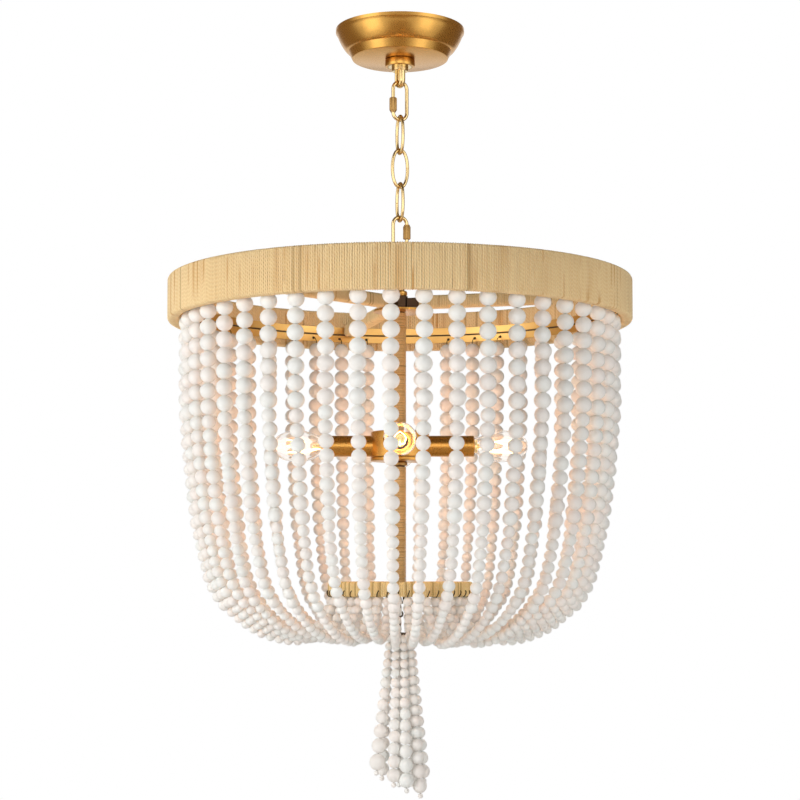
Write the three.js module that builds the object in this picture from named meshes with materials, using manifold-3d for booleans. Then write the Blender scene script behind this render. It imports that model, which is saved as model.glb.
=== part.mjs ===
// Beaded chandelier on a short chain: a twine-wound drum band, 45 strands of graded wooden beads that fall
// from the band and curve in under a small ring, a four-light cluster on the stem and a beaded tassel.
// Millimetres, +Z up. The origin is on the axis, in the plane of the ceiling.

import * as THREE from 'three';
import { mergeVertices } from 'three/addons/utils/BufferGeometryUtils.js';
import Module from 'manifold-3d';

const wasm = await Module();
wasm.setup();

// Clearances
const fitGap = 0.3; // between touching pieces
const linkGap = 0.4; // between one link and the next at rest
const threadClearance = 0.5; // between a thread and what runs on it
const cutOverrun = 1; // how far a cutting shape runs past the piece it cuts, or a joined one into it

// Ceiling strap, nipple and lock nut
const strapLength = 104;
const strapWidth = 20;
const strapThickness = 2;
const strapSlotSpacing = 70;
const strapSlotLength = 12;
const strapSlotWidth = 5;
const nippleDiameter = 9.6;
const nippleBore = 6;
const nippleLength = 34;
const lockNutAcrossFlats = 15;
const lockNutHeight = 4;

// Canopy
const canopyDepth = 33;
const canopyRimRadius = 71;
const canopyRimHeight = 4;
const canopyBowlDepth = 19; // from the rim's lower edge to the step
const canopyBowlRadius = 59.5;
const canopyBulgeShare = 1 / 3; // height of the bowl's widest bend, as a share of the bowl's depth
const canopyStep = 2;
const canopyFootRadius = 53.5;
const canopyFootRounding = 2;
const canopySheet = 1.2;

// Threaded collar under the canopy, and the loop that it runs on
const collarDiameter = 33;
const collarHeight = 8;
const barrelDiameter = 26;
const barrelLength = 18;
const noseDiameter = 18.5;
const noseLength = 5;
const ceilingEyeBar = 4.5;
const ceilingEyeWidth = 7; // width of the bar across the loop
const ceilingEyeRadius = 6.6; // to the middle of the bar
const ceilingEyeReach = 18.5; // from the nose to the foot of the eye

// Chain
const chainYawDegrees = 22; // how far the chain has turned on its way down
const linkLength = 45.2;
const linkWidth = 21.4;
const linkWire = 3.6;
const quickLinkLength = 46.5;
const quickLinkWidth = 20.3;
const quickLinkWire = 4;
const quickLinkGap = 5.5;
const sleeveNutLength = 16;
const sleeveNutAcrossFlats = 7.6;

// Loop on top of the frame
const frameEyeBar = 5;
const frameEyeRadius = 8.5;
const frameEyeReach = 29;
const frameBossDiameter = 23;
const frameBossHeight = 8;
const frameShankDiameter = 9.6;

// Hub and arms
const armDrop = 60.5; // from the top of the frame's eye to the middle of the arms
const armThickness = 10;
const armWrapThickness = 2;
const armWrapStart = 23; // radius at which the winding on an arm begins
const armCount = 3;
const armPhaseDegrees = -15;
const hubDiameter = 17;
const hubHeight = armThickness + 2 * (armWrapThickness + fitGap); // as tall as a wound arm
const hubNutDiameter = 16;
const hubNutHeight = 6;
const hubNutRounding = 2;
const hubDiscDiameter = 58;
const hubDiscThickness = 2.5;

// Drum band
const drumDiameter = 508;
const drumHeight = 46.5;
const drumWrapThickness = 2.6;
const drumCoreThickness = 6;
const drumRounding = 3;
const hoopThickness = 3.2;
const hoopHeight = 8;
const armHoopRise = 23; // from the drum's lower edge to the middle of the hoop
const beadHoopRise = 13;

// Stem
const stemDiameter = 10;
const stemBore = 7;
const stemWrapThickness = 1.5;
const upperWrapLength = 131;
const lowerWrapLength = 130;
const stemInHub = 5;

// Light cluster
const clusterDiameter = 64;
const clusterBodyHeight = 28.2;
const clusterCoverHeight = 4;
const clusterSheet = 2;
const clusterRounding = 2;
const clusterNutDiameter = 16;
const clusterNutHeight = 4.5;
const lightCount = 4;
const sleeveDiameter = 23;
const sleeveSheet = 1.5;
const sleeveReach = 81; // from the axis of the stem
const sleeveAxisDrop = 15.8; // from the top of the cluster
const lampholderLength = 32;
const lampholderSetback = 0.8; // from the mouth of the sleeve
const bulbBaseDiameter = 12;
const bulbBaseLength = 22;
const bulbNeckDiameter = 17;
const bulbDiameter = 35;
const bulbGlassLength = 59;
// The glass of a torpedo bulb: shares of its half width, and of its length from the lampholder
const bulbOutlineShares = [[0.62, 0.12], [0.9, 0.32], [1, 0.52], [0.93, 0.7], [0.72, 0.86], [0.38, 0.97], [0, 1]];

// Lower ring and the spider that carries it
const ringDiameter = 158;
const ringHeight = 16;
const ringWidth = 12;
const ringWrapThickness = 2.4;
const ringSlit = 4.6;
const ringRounding = 2;
const spiderHubDiameter = 18;
const spiderHeight = 8;
const spokeThickness = 3;
const spokeWidth = 8;

// Eye, hook and tassel under the stem
const plugLength = 12;
const plugFlangeDiameter = 12;
const plugFlangeHeight = 2;
const smallEyeWire = 2.2;
const smallEyeRadius = 4;
const hookWire = 1.8;
const hookLength = 15;
const hookWidth = 8;
const tasselEyeWire = 1.8;
const tasselEyeRadius = 3;
const tasselWireLength = 16;
const tasselCapRadius = 13.5;
const tasselCapHeight = 4;
const tasselTopRadius = 12;
const tasselSpread = 10.5; // how much further out a strand's last bead hangs
const tasselStrandCount = 8;
const tasselTopBead = 8.5; // diameters, from the cap down
const tasselSecondBead = 10;
const tasselThirdBead = 12;
const tasselFourthBead = 14;
const tasselDropBead = 17;
const tasselEndBead = 5.6;
const tasselBeads = [
  { count: 6, diameter: tasselTopBead },
  { count: 4, diameter: tasselSecondBead },
  { count: 3, diameter: tasselThirdBead },
  { count: 2, diameter: tasselFourthBead },
  { count: 1, diameter: tasselDropBead },
  { count: 1, diameter: tasselEndBead },
];
const beadNeckShare = 0.42; // where two beads touch, as a share of their diameter

// Bead strands
const strandCount = 45;
const strandsInGroup = 5;
const strandPhaseDegrees = -92.2;
const strandTopRadius = 233;
const strandTopRise = 5.5; // the first bead starts inside the drum band
const strandLowRadius = 112;
const strandSag = 47; // from the lower ring to the lowest bead
const strandEndRadius = 76;
const largeBead = 17; // diameters, and how far apart the beads sit
const largeBeadPitch = 16.5;
const mediumBead = 15;
const mediumBeadPitch = 14.2;
const smallBead = 12.4;
const smallBeadPitch = 11.5;
const fineBead = 10.3;
const fineBeadPitch = 9.8;
const strandBeads = [
  { count: 7, diameter: largeBead, pitch: largeBeadPitch },
  { count: 8, diameter: mediumBead, pitch: mediumBeadPitch },
  { count: 8, diameter: smallBead, pitch: smallBeadPitch },
  { count: 15, diameter: fineBead, pitch: fineBeadPitch },
];
const strandHookWire = 1.6;
const strandHookRise = 12; // from the drum's lower edge to the hook's end in the hoop
const strandTieWire = 2.4; // the wire that the last beads of a group are threaded on
const strandTieRadius = 77;
const strandTieDrop = 4.5; // from the ends of the strands

// From the drum to the lowest bead: shares of the way out from the lowest bead, and of the way down
const outerFallShares = [
  [1, 0], [1, 0.15], [0.996, 0.308], [0.979, 0.402], [0.93, 0.558], [0.876, 0.683], [0.832, 0.749],
  [0.777, 0.817], [0.698, 0.868], [0.603, 0.905], [0.446, 0.95], [0.306, 0.977], [0.149, 0.994], [0, 1],
];
// From the lowest bead to the ring: shares of the way out from the strand's end, and of the way up
const innerRiseShares = [[0.611, 0.074], [0.306, 0.287], [0.083, 0.649], [0, 0.85], [0, 1]];
// Where the skin of a strand has its rings, as shares of the strand's length
const strandStopShares = [0, 0.02, 0.24, 0.45, 0.6, 0.7, 0.79, 0.86, 0.92, 0.97, 1];

// Sides of the round pieces
const drumSides = strandCount;
const ringSides = 30;
const canopySides = 32;
const discSides = 24;
const tubeSides = 12;
const sleeveSides = 12;
const wireSides = 8;
const thinWireSides = 6;
const arcSteps = 6; // in half a turn of a link

const finish = (color, roughness, metalness, more = {}) =>
  new THREE.MeshStandardMaterial({ color, roughness, metalness, ...more });
const finishes = {
  satinBrass: finish(0x8f7a55, 0.42, 0.9),
  paleBrass: finish(0xb59d6c, 0.35, 0.9),
  darkBrass: finish(0x54412a, 0.45, 0.85),
  steel: finish(0xa5a5a1, 0.4, 0.9),
  twine: finish(0xbd9a63, 0.95, 0),
  core: finish(0x3c3228, 0.7, 0.3),
  bead: finish(0xf0eee9, 0.55, 0),
  lampholder: finish(0x2b2622, 0.6, 0),
  glass: finish(0xf7efe2, 0.05, 0, { transparent: true, opacity: 0.35 }),
  blackWire: finish(0x2a2420, 0.5, 0.6),
};

const degrees = THREE.MathUtils.degToRad;

// Geometry helpers: every shape leaves them as one merged mesh whose faces point outwards.

function weld(geometry) {
  const bare = new THREE.BufferGeometry();
  bare.setAttribute('position', geometry.getAttribute('position'));
  if (geometry.index) bare.setIndex(geometry.index);
  const merged = mergeVertices(bare);
  const corner = new THREE.Vector3();
  const corners = (a, b, c) => [a, b, c].map((i) => corner.clone()
    .fromBufferAttribute(merged.getAttribute('position'), i));
  const kept = [];
  let volume = 0;
  for (let i = 0; i < merged.index.count; i += 3) {
    const [a, b, c] = [0, 1, 2].map((k) => merged.index.getX(i + k));
    if (a === b || b === c || c === a) continue;
    kept.push(a, b, c);
    const [p, q, r] = corners(a, b, c);
    volume += p.dot(q.cross(r));
  }
  merged.setIndex(volume < 0 ? kept.reverse() : kept);
  merged.computeVertexNormals();
  return merged;
}

function toSolid(geometry) {
  const welded = weld(geometry);
  return new wasm.Manifold(new wasm.Mesh({
    numProp: 3,
    vertProperties: new Float32Array(welded.getAttribute('position').array),
    triVerts: new Uint32Array(welded.index.array),
  }));
}

function toGeometry(solid) {
  const mesh = solid.getMesh();
  const geometry = new THREE.BufferGeometry();
  geometry.setAttribute('position', new THREE.BufferAttribute(mesh.vertProperties, 3));
  geometry.setIndex(new THREE.BufferAttribute(mesh.triVerts, 1));
  return weld(geometry);
}

const join = (...geometries) => toGeometry(geometries.map(toSolid).reduce((a, b) => a.add(b)));
const cut = (geometry, ...tools) =>
  toGeometry(tools.map(toSolid).reduce((rest, tool) => rest.subtract(tool), toSolid(geometry)));

// A profile of [radius, height] points turned about Z. A profile that is off the axis closes on itself.
// Radii are measured to the middle of the flats, which lie across +X.
function turned(profile, sides) {
  const toCorner = 1 / Math.cos(Math.PI / sides);
  const points = profile.map(([radius, height]) => new THREE.Vector2(radius * toCorner, height));
  const onAxis = points[0].x === 0 && points.at(-1).x === 0;
  if (!onAxis) points.push(points[0].clone());
  const startAngle = Math.PI / 2 + Math.PI / sides;
  return weld(new THREE.LatheGeometry(points, sides, startAngle).rotateX(Math.PI / 2));
}

const tubeProfile = (innerRadius, outerRadius, bottom, top) =>
  [[innerRadius, bottom], [outerRadius, bottom], [outerRadius, top], [innerRadius, top]];
const rodProfile = (radius, bottom, top) => [[0, bottom], [radius, bottom], [radius, top], [0, top]];

// A box given by its low and high corner
function block(low, high) {
  const size = high.map((value, i) => value - low[i]);
  const middle = high.map((value, i) => (value + low[i]) / 2);
  return new THREE.BoxGeometry(...size).translate(...middle);
}

// A skin over rings with equal numbers of points, closed in a circle or capped at both ends
function skinned(rings, closed) {
  const count = rings[0].length;
  const index = [];
  const bands = closed ? rings.length : rings.length - 1;
  for (let i = 0; i < bands; i++) {
    const near = i * count;
    const far = ((i + 1) % rings.length) * count;
    for (let j = 0; j < count; j++) {
      const next = (j + 1) % count;
      index.push(near + j, near + next, far + next, near + j, far + next, far + j);
    }
  }
  if (!closed) {
    const last = (rings.length - 1) * count;
    for (let j = 1; j < count - 1; j++) index.push(0, j + 1, j, last, last + j, last + j + 1);
  }
  const geometry = new THREE.BufferGeometry();
  const numbers = rings.flat().flatMap((point) => point.toArray());
  geometry.setAttribute('position', new THREE.Float32BufferAttribute(numbers, 3));
  geometry.setIndex(index);
  return weld(geometry);
}

// A bar along stations in the XZ plane. Each station has its place, its sideways direction in that plane and
// half its size that way and along Y.
function swept(stations, sides, closed) {
  const rings = stations.map(({ at, side, half, halfWidth = half }) =>
    Array.from({ length: sides }, (_, k) => {
      const turn = (2 * Math.PI * k) / sides;
      const along = Math.cos(turn) * half;
      return new THREE.Vector3(at[0] + side[0] * along, Math.sin(turn) * halfWidth, at[1] + side[1] * along);
    }));
  return skinned(rings, closed);
}

// Stations round an upright oval, clockwise from the foot of its right leg
function ovalStations(length, width, wire) {
  const radius = (width - wire) / 2;
  const straight = (length - width) / 2;
  const arc = (middle, from) => Array.from({ length: arcSteps + 1 }, (_, k) => {
    const turn = from + (Math.PI * k) / arcSteps;
    const side = [Math.cos(turn), Math.sin(turn)];
    return { at: [side[0] * radius, middle + side[1] * radius], side, half: wire / 2 };
  });
  return [...arc(straight, 0), ...arc(-straight, Math.PI)];
}

// Stations of a U-shaped bar: legs from the height `root`, and a half circle about the origin below them
function archStations(radius, root, bar, width) {
  const size = { half: bar / 2, halfWidth: width / 2 };
  const arc = Array.from({ length: arcSteps + 1 }, (_, k) => {
    const turn = Math.PI + (Math.PI * k) / arcSteps;
    const side = [Math.cos(turn), Math.sin(turn)];
    return { at: [side[0] * radius, side[1] * radius], side, ...size };
  });
  const leg = (side) => ({ at: [side * radius, root], side: [side, 0], ...size });
  return [leg(-1), ...arc, leg(1)];
}

function hexagonal(acrossFlats, bottom, top) {
  return turned(rodProfile(acrossFlats / 2, bottom, top), 6);
}

function hexNut(acrossFlats, boreDiameter, bottom, top) {
  const bore = turned(rodProfile(boreDiameter / 2, bottom - cutOverrun, top + cutOverrun), tubeSides);
  return cut(hexagonal(acrossFlats, bottom, top), bore);
}

function addPart(parent, name, geometry, material, height = 0, yaw = 0) {
  const mesh = new THREE.Mesh(geometry, material);
  mesh.name = name;
  mesh.position.z = height;
  mesh.rotation.z = yaw;
  parent.add(mesh);
  return mesh;
}

const chandelier = new THREE.Group();
chandelier.name = 'beaded_chandelier';

// Heights from the ceiling down to the first link
const canopyBottom = -canopyDepth;
const collarTop = canopyBottom - fitGap;
const collarBottom = collarTop - collarHeight;
const barrelTop = collarBottom + barrelLength;
const noseBottom = collarBottom - noseLength;
const collarBore = barrelDiameter + 2 * threadClearance;
const nippleHole = nippleDiameter + 2 * fitGap;
const chainYaw = degrees(chainYawDegrees);
const crossYaw = chainYaw + Math.PI / 2; // for the loops and every second link

function makeCeilingFitting(parent) {
  const slot = (side) => {
    const middle = (side * strapSlotSpacing) / 2;
    return block([middle - strapSlotLength / 2, -strapSlotWidth / 2, -strapThickness - cutOverrun],
      [middle + strapSlotLength / 2, strapSlotWidth / 2, cutOverrun]);
  };
  const plate = block([-strapLength / 2, -strapWidth / 2, -strapThickness],
    [strapLength / 2, strapWidth / 2, 0]);
  const hole = turned(rodProfile(nippleHole / 2, -strapThickness - cutOverrun, cutOverrun), tubeSides);
  addPart(parent, 'ceiling_strap', cut(plate, hole, slot(-1), slot(1)), finishes.steel);

  const nutTop = -strapThickness - fitGap;
  addPart(parent, 'strap_nut', hexNut(lockNutAcrossFlats, nippleHole, nutTop - lockNutHeight, nutTop),
    finishes.steel);

  const nipple = tubeProfile(nippleBore / 2, nippleDiameter / 2, -nippleLength, 0);
  addPart(parent, 'canopy_nipple', turned(nipple, tubeSides), finishes.steel);

  // The loop: a threaded barrel with a blind bore for the nipple, a nose and a flat eye
  const bore = nippleHole / 2;
  const boreEnd = -nippleLength - fitGap;
  const body = turned([[bore, barrelTop], [barrelDiameter / 2, barrelTop], [barrelDiameter / 2, collarBottom],
    [noseDiameter / 2, collarBottom], [noseDiameter / 2, noseBottom], [0, noseBottom], [0, boreEnd],
    [bore, boreEnd]], discSides);
  const arcHeight = noseBottom - ceilingEyeReach + ceilingEyeRadius + ceilingEyeBar / 2;
  const root = noseBottom - arcHeight + noseLength / 2;
  const eye = swept(archStations(ceilingEyeRadius, root, ceilingEyeBar, ceilingEyeWidth), wireSides, false);
  eye.translate(0, 0, arcHeight);
  addPart(parent, 'canopy_loop', join(body, eye), finishes.satinBrass, 0, crossYaw);
}

function makeCanopy(parent) {
  const bowlBottom = -canopyRimHeight - canopyBowlDepth;
  const bandRadius = canopyBowlRadius - canopyStep;
  const bulge = [(canopyRimRadius + canopyBowlRadius + canopyStep) / 2,
    bowlBottom + canopyBowlDepth * canopyBulgeShare];
  const outside = [[canopyRimRadius, 0], [canopyRimRadius, -canopyRimHeight],
    [canopyRimRadius - canopyStep, -canopyRimHeight - canopyStep], bulge, [canopyBowlRadius, bowlBottom],
    [bandRadius, bowlBottom - canopyStep / 2], [canopyFootRadius, canopyBottom + canopyFootRounding],
    [canopyFootRadius - canopyFootRounding, canopyBottom], [collarBore / 2, canopyBottom]];
  const inside = outside.slice(2).reverse().map(([radius, height]) => {
    const floor = height <= canopyBottom + canopyFootRounding;
    const inner = radius === collarBore / 2 ? radius : radius - canopySheet;
    return [inner, floor ? height + canopySheet : height];
  });
  inside.push([canopyRimRadius - canopySheet, -canopyRimHeight], [canopyRimRadius - canopySheet, 0]);
  addPart(parent, 'canopy', turned([...outside, ...inside], canopySides), finishes.satinBrass);

  const collar = tubeProfile(collarBore / 2, collarDiameter / 2, collarBottom, collarTop);
  addPart(parent, 'canopy_collar', turned(collar, canopySides), finishes.satinBrass);
}

// The chain: each piece hangs on the bottom wire of the one above. Returns the height of the last seat.
function makeChain(parent, firstSeat) {
  let seat = firstSeat;
  const hang = (name, length, wire, geometry, finishOf, yaw) => {
    const top = seat + linkGap + wire;
    const middle = top - length / 2;
    addPart(parent, name, geometry, finishOf, middle, yaw);
    seat = top - length + wire;
    return middle;
  };

  const plainLink = swept(ovalStations(linkLength, linkWidth, linkWire), wireSides, true);
  const legX = (quickLinkWidth - quickLinkWire) / 2;
  const legTop = (quickLinkLength - quickLinkWidth) / 2;
  // The gap lies at one end of the leg, where the sleeve nut covers it
  const gapMiddle = -legTop + quickLinkGap / 2 + quickLinkWire / 2;
  const nutMiddle = -legTop + sleeveNutLength / 2;
  const oval = swept(ovalStations(quickLinkLength, quickLinkWidth, quickLinkWire), wireSides, true);
  const openLink = cut(oval, block([legX - quickLinkWire, -quickLinkWire, gapMiddle - quickLinkGap / 2],
    [legX + quickLinkWire, quickLinkWire, gapMiddle + quickLinkGap / 2]));
  const nut = hexNut(sleeveNutAcrossFlats, quickLinkWire + 2 * threadClearance, -sleeveNutLength / 2,
    sleeveNutLength / 2);
  nut.translate(legX, 0, nutMiddle);

  const hangQuickLink = (name, nutName, yaw, flip) => {
    const turnOver = new THREE.Matrix4().makeRotationY(flip ? Math.PI : 0);
    const middle = hang(name, quickLinkLength, quickLinkWire, openLink.clone().applyMatrix4(turnOver),
      finishes.paleBrass, yaw);
    addPart(parent, nutName, nut.clone().applyMatrix4(turnOver), finishes.paleBrass, middle, yaw);
  };

  hangQuickLink('upper_quick_link', 'upper_link_nut', chainYaw + Math.PI, false);
  hang('chain_link_1', linkLength, linkWire, plainLink, finishes.paleBrass, crossYaw);
  hang('chain_link_2', linkLength, linkWire, plainLink, finishes.paleBrass, chainYaw);
  hang('chain_link_3', linkLength, linkWire, plainLink, finishes.paleBrass, crossYaw);
  hangQuickLink('lower_quick_link', 'lower_link_nut', chainYaw + Math.PI, true);
  return seat;
}

// Heights of the frame, counted down from the last link
function frameHeights(seat) {
  const eyeTop = seat + linkGap + frameEyeBar;
  const armMiddle = eyeTop - armDrop;
  const hubTop = armMiddle + hubHeight / 2;
  const hubBottom = armMiddle - hubHeight / 2;
  const discBottom = hubBottom - fitGap - hubDiscThickness;
  const drumBottom = armMiddle - armHoopRise;
  const clusterTop = discBottom - fitGap - upperWrapLength - fitGap;
  const coverBottom = clusterTop - clusterBodyHeight - fitGap - clusterCoverHeight;
  const clusterNutBottom = coverBottom - fitGap - clusterNutHeight;
  const spiderTop = clusterNutBottom - fitGap - lowerWrapLength - fitGap;
  const spiderMiddle = spiderTop - spiderHeight / 2;
  const ringBottom = spiderMiddle - ringHeight / 2;
  const stemTop = hubBottom + stemInHub;
  const stemBottom = spiderTop - spiderHeight - fitGap;
  return { eyeTop, armMiddle, hubTop, hubBottom, discBottom, drumBottom, clusterTop, coverBottom,
    clusterNutBottom, spiderTop, spiderMiddle, ringBottom, stemTop, stemBottom };
}

const drumRadius = drumDiameter / 2;
const drumCoreOuter = drumRadius - drumWrapThickness - fitGap;
const drumCoreInner = drumCoreOuter - drumCoreThickness;
const hoopOuter = drumCoreInner - fitGap;
const hoopInner = hoopOuter - hoopThickness;
const stemHole = stemDiameter + 2 * fitGap;

function makeHubAndArms(parent, at) {
  const bossTop = at.eyeTop - frameEyeReach;
  const bossBottom = bossTop - frameBossHeight;
  const shank = turned([[0, bossTop], [frameBossDiameter / 2, bossTop], [frameBossDiameter / 2, bossBottom],
    [frameShankDiameter / 2, bossBottom], [frameShankDiameter / 2, at.stemTop + fitGap],
    [0, at.stemTop + fitGap]], tubeSides);
  const arcHeight = at.eyeTop - frameEyeBar / 2 - frameEyeRadius;
  const root = arcHeight - bossTop + frameBossHeight / 2;
  const eye = swept(archStations(frameEyeRadius, root, frameEyeBar, frameEyeBar), wireSides, false);
  eye.rotateX(Math.PI).translate(0, 0, arcHeight);
  addPart(parent, 'frame_loop', join(shank, eye), finishes.darkBrass, 0, crossYaw);

  const nutBottom = at.hubTop + fitGap;
  const nutTop = nutBottom + hubNutHeight;
  const nutRadius = hubNutDiameter / 2;
  const nutBore = frameShankDiameter / 2 + threadClearance;
  addPart(parent, 'hub_nut', turned([[nutBore, nutBottom], [nutRadius - hubNutRounding, nutBottom],
    [nutRadius, nutBottom + hubNutRounding], [nutRadius, nutTop - hubNutRounding],
    [nutRadius - hubNutRounding, nutTop], [nutBore, nutTop]], tubeSides), finishes.satinBrass);

  const hub = tubeProfile(stemHole / 2, hubDiameter / 2, at.hubBottom, at.hubTop);
  addPart(parent, 'arm_hub', turned(hub, tubeSides), finishes.darkBrass);
  const disc = tubeProfile(stemHole / 2, hubDiscDiameter / 2, at.discBottom, at.discBottom + hubDiscThickness);
  addPart(parent, 'hub_disc', turned(disc, discSides), finishes.satinBrass);

  // The corners of the hub stand out past its flats, so the arms start clear of them
  const armStart = hubDiameter / 2 / Math.cos(Math.PI / tubeSides) + fitGap;
  const armEnd = hoopInner - fitGap;
  const half = armThickness / 2;
  const arm = block([armStart, -half, -half], [armEnd, half, half]);
  const outer = half + fitGap + armWrapThickness;
  const inner = half + fitGap;
  const wrapEnd = armEnd - fitGap;
  const sleeve = cut(block([armWrapStart, -outer, -outer], [wrapEnd, outer, outer]),
    block([armWrapStart - cutOverrun, -inner, -inner], [wrapEnd + cutOverrun, inner, inner]));
  for (let i = 0; i < armCount; i++) {
    const yaw = degrees(armPhaseDegrees) + (2 * Math.PI * i) / armCount;
    addPart(parent, `frame_arm_${i + 1}`, arm, finishes.darkBrass, at.armMiddle, yaw);
    addPart(parent, `arm_wrap_${i + 1}`, sleeve, finishes.twine, at.armMiddle, yaw);
  }
}

// A winding over a ring of rectangular section, open along a slit in its inner face
function ringWrap(outerRadius, innerRadius, bottom, top, thickness, rounding, slitBottom, slitTop) {
  const [innerCore, outerCore] = [innerRadius + thickness, outerRadius - thickness];
  const [lowCore, highCore] = [bottom + thickness, top - thickness];
  return [[innerRadius, slitBottom], [innerRadius, bottom + rounding], [innerRadius + rounding, bottom],
    [outerRadius - rounding, bottom], [outerRadius, bottom + rounding], [outerRadius, top - rounding],
    [outerRadius - rounding, top], [innerRadius + rounding, top], [innerRadius, top - rounding],
    [innerRadius, slitTop], [innerCore, slitTop], [innerCore, highCore], [outerCore, highCore],
    [outerCore, lowCore], [innerCore, lowCore], [innerCore, slitBottom]];
}

function makeDrum(parent, at) {
  const top = at.drumBottom + drumHeight;
  const skin = drumWrapThickness + fitGap;
  const core = tubeProfile(drumCoreInner, drumCoreOuter, at.drumBottom + skin, top - skin);
  addPart(parent, 'drum_core', turned(core, drumSides), finishes.core);

  const hoopBottom = (rise) => at.drumBottom + rise - hoopHeight / 2;
  const wrap = ringWrap(drumRadius, drumCoreInner - skin, at.drumBottom, top, drumWrapThickness, drumRounding,
    hoopBottom(beadHoopRise) - fitGap, hoopBottom(armHoopRise) + hoopHeight + fitGap);
  addPart(parent, 'drum_wrap', turned(wrap, drumSides), finishes.twine);

  const hoop = (rise) => turned(tubeProfile(hoopInner, hoopOuter, hoopBottom(rise),
    hoopBottom(rise) + hoopHeight), drumSides);
  addPart(parent, 'arm_hoop', hoop(armHoopRise), finishes.darkBrass);
  addPart(parent, 'bead_hoop', hoop(beadHoopRise), finishes.darkBrass);
}

function makeStem(parent, at) {
  const tube = tubeProfile(stemBore / 2, stemDiameter / 2, at.stemBottom, at.stemTop);
  addPart(parent, 'stem_tube', turned(tube, tubeSides), finishes.darkBrass);
  const sleeve = (top, length) => turned(tubeProfile(stemHole / 2, stemHole / 2 + stemWrapThickness,
    top - length, top), tubeSides);
  addPart(parent, 'upper_stem_wrap', sleeve(at.discBottom - fitGap, upperWrapLength), finishes.twine);
  addPart(parent, 'lower_stem_wrap', sleeve(at.clusterNutBottom - fitGap, lowerWrapLength), finishes.twine);
}

function makeCluster(parent, at) {
  const radius = clusterDiameter / 2;
  const bottom = at.clusterTop - clusterBodyHeight;
  const inner = radius - clusterSheet;
  const cup = turned([[stemHole / 2, at.clusterTop], [radius - clusterRounding, at.clusterTop],
    [radius, at.clusterTop - clusterRounding], [radius, bottom], [inner, bottom],
    [inner, at.clusterTop - clusterSheet], [stemHole / 2, at.clusterTop - clusterSheet]], discSides);
  const axisHeight = at.clusterTop - sleeveAxisDrop;
  const lightYaw = (i) => (2 * Math.PI * i) / lightCount;
  const along = (geometry, i) => geometry.rotateY(Math.PI / 2).rotateZ(lightYaw(i))
    .translate(0, 0, axisHeight);
  const port = (i) => along(turned(rodProfile(sleeveDiameter / 2 + fitGap, inner / 2, radius + cutOverrun),
    sleeveSides), i);
  const ports = Array.from({ length: lightCount }, (_, i) => port(i));
  addPart(parent, 'cluster_body', cut(cup, ...ports), finishes.satinBrass);

  const coverTop = bottom - fitGap;
  addPart(parent, 'cluster_cover', turned([[stemHole / 2, coverTop], [radius, coverTop],
    [radius, at.coverBottom + clusterRounding], [radius - clusterRounding, at.coverBottom],
    [stemHole / 2, at.coverBottom]], discSides), finishes.satinBrass);
  const nut = tubeProfile(stemHole / 2, clusterNutDiameter / 2, at.clusterNutBottom,
    at.clusterNutBottom + clusterNutHeight);
  addPart(parent, 'cluster_nut', turned(nut, tubeSides), finishes.satinBrass);

  // One light, drawn upright along Z from the stem's axis and then laid along +X
  const outer = sleeveDiameter / 2;
  const sleeve = tubeProfile(outer - sleeveSheet, outer, inner - clusterSheet, sleeveReach);
  const mouth = sleeveReach - lampholderSetback;
  const holderOuter = outer - sleeveSheet - fitGap;
  const holderBore = bulbBaseDiameter / 2 + threadClearance;
  const baseEnd = sleeveReach + fitGap - bulbBaseLength;
  const holderBottom = mouth - lampholderLength;
  const holder = [[0, holderBottom], [holderOuter, holderBottom], [holderOuter, mouth], [holderBore, mouth],
    [holderBore, baseEnd - threadClearance], [0, baseEnd - threadClearance]];
  const glassStart = sleeveReach + fitGap;
  const glassAt = (share) => glassStart + bulbGlassLength * share;
  const bulb = [[0, baseEnd], [bulbBaseDiameter / 2, baseEnd], [bulbBaseDiameter / 2, glassStart],
    [bulbNeckDiameter / 2, glassStart],
    ...bulbOutlineShares.map(([wide, far]) => [(bulbDiameter / 2) * wide, glassAt(far)])];
  const pieces = [['socket_sleeve', sleeve, finishes.satinBrass], ['lamp_socket', holder, finishes.lampholder],
    ['bulb', bulb, finishes.glass]];
  for (const [name, profile, look] of pieces) {
    const lying = turned(profile, sleeveSides).rotateY(Math.PI / 2);
    for (let i = 0; i < lightCount; i++) {
      addPart(parent, `${name}_${i + 1}`, lying, look, axisHeight, lightYaw(i));
    }
  }
}

function makeLowerRing(parent, at) {
  const outer = ringDiameter / 2;
  const skin = ringWrapThickness + fitGap;
  const top = at.ringBottom + ringHeight;
  const coreInner = outer - ringWidth + skin;
  const core = tubeProfile(coreInner, outer - skin, at.ringBottom + skin, top - skin);
  addPart(parent, 'lower_ring_core', turned(core, ringSides), finishes.core);
  const wrap = ringWrap(outer, outer - ringWidth, at.ringBottom, top, ringWrapThickness, ringRounding,
    at.spiderMiddle - ringSlit / 2, at.spiderMiddle + ringSlit / 2);
  addPart(parent, 'lower_ring_wrap', turned(wrap, ringSides), finishes.twine);

  // The spokes reach through the slit of the winding to the core
  const spokeEnd = coreInner - fitGap;
  const spokes = Array.from({ length: armCount }, (_, i) => block(
    [spiderHubDiameter / 2 - cutOverrun, -spokeWidth / 2, at.spiderMiddle - spokeThickness / 2],
    [spokeEnd, spokeWidth / 2, at.spiderMiddle + spokeThickness / 2])
    .rotateZ(degrees(armPhaseDegrees) + (2 * Math.PI * i) / armCount));
  const hub = turned(tubeProfile(stemHole / 2, spiderHubDiameter / 2, at.spiderTop - spiderHeight,
    at.spiderTop), tubeSides);
  addPart(parent, 'lower_spider', join(hub, ...spokes), finishes.darkBrass);
}

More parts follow.
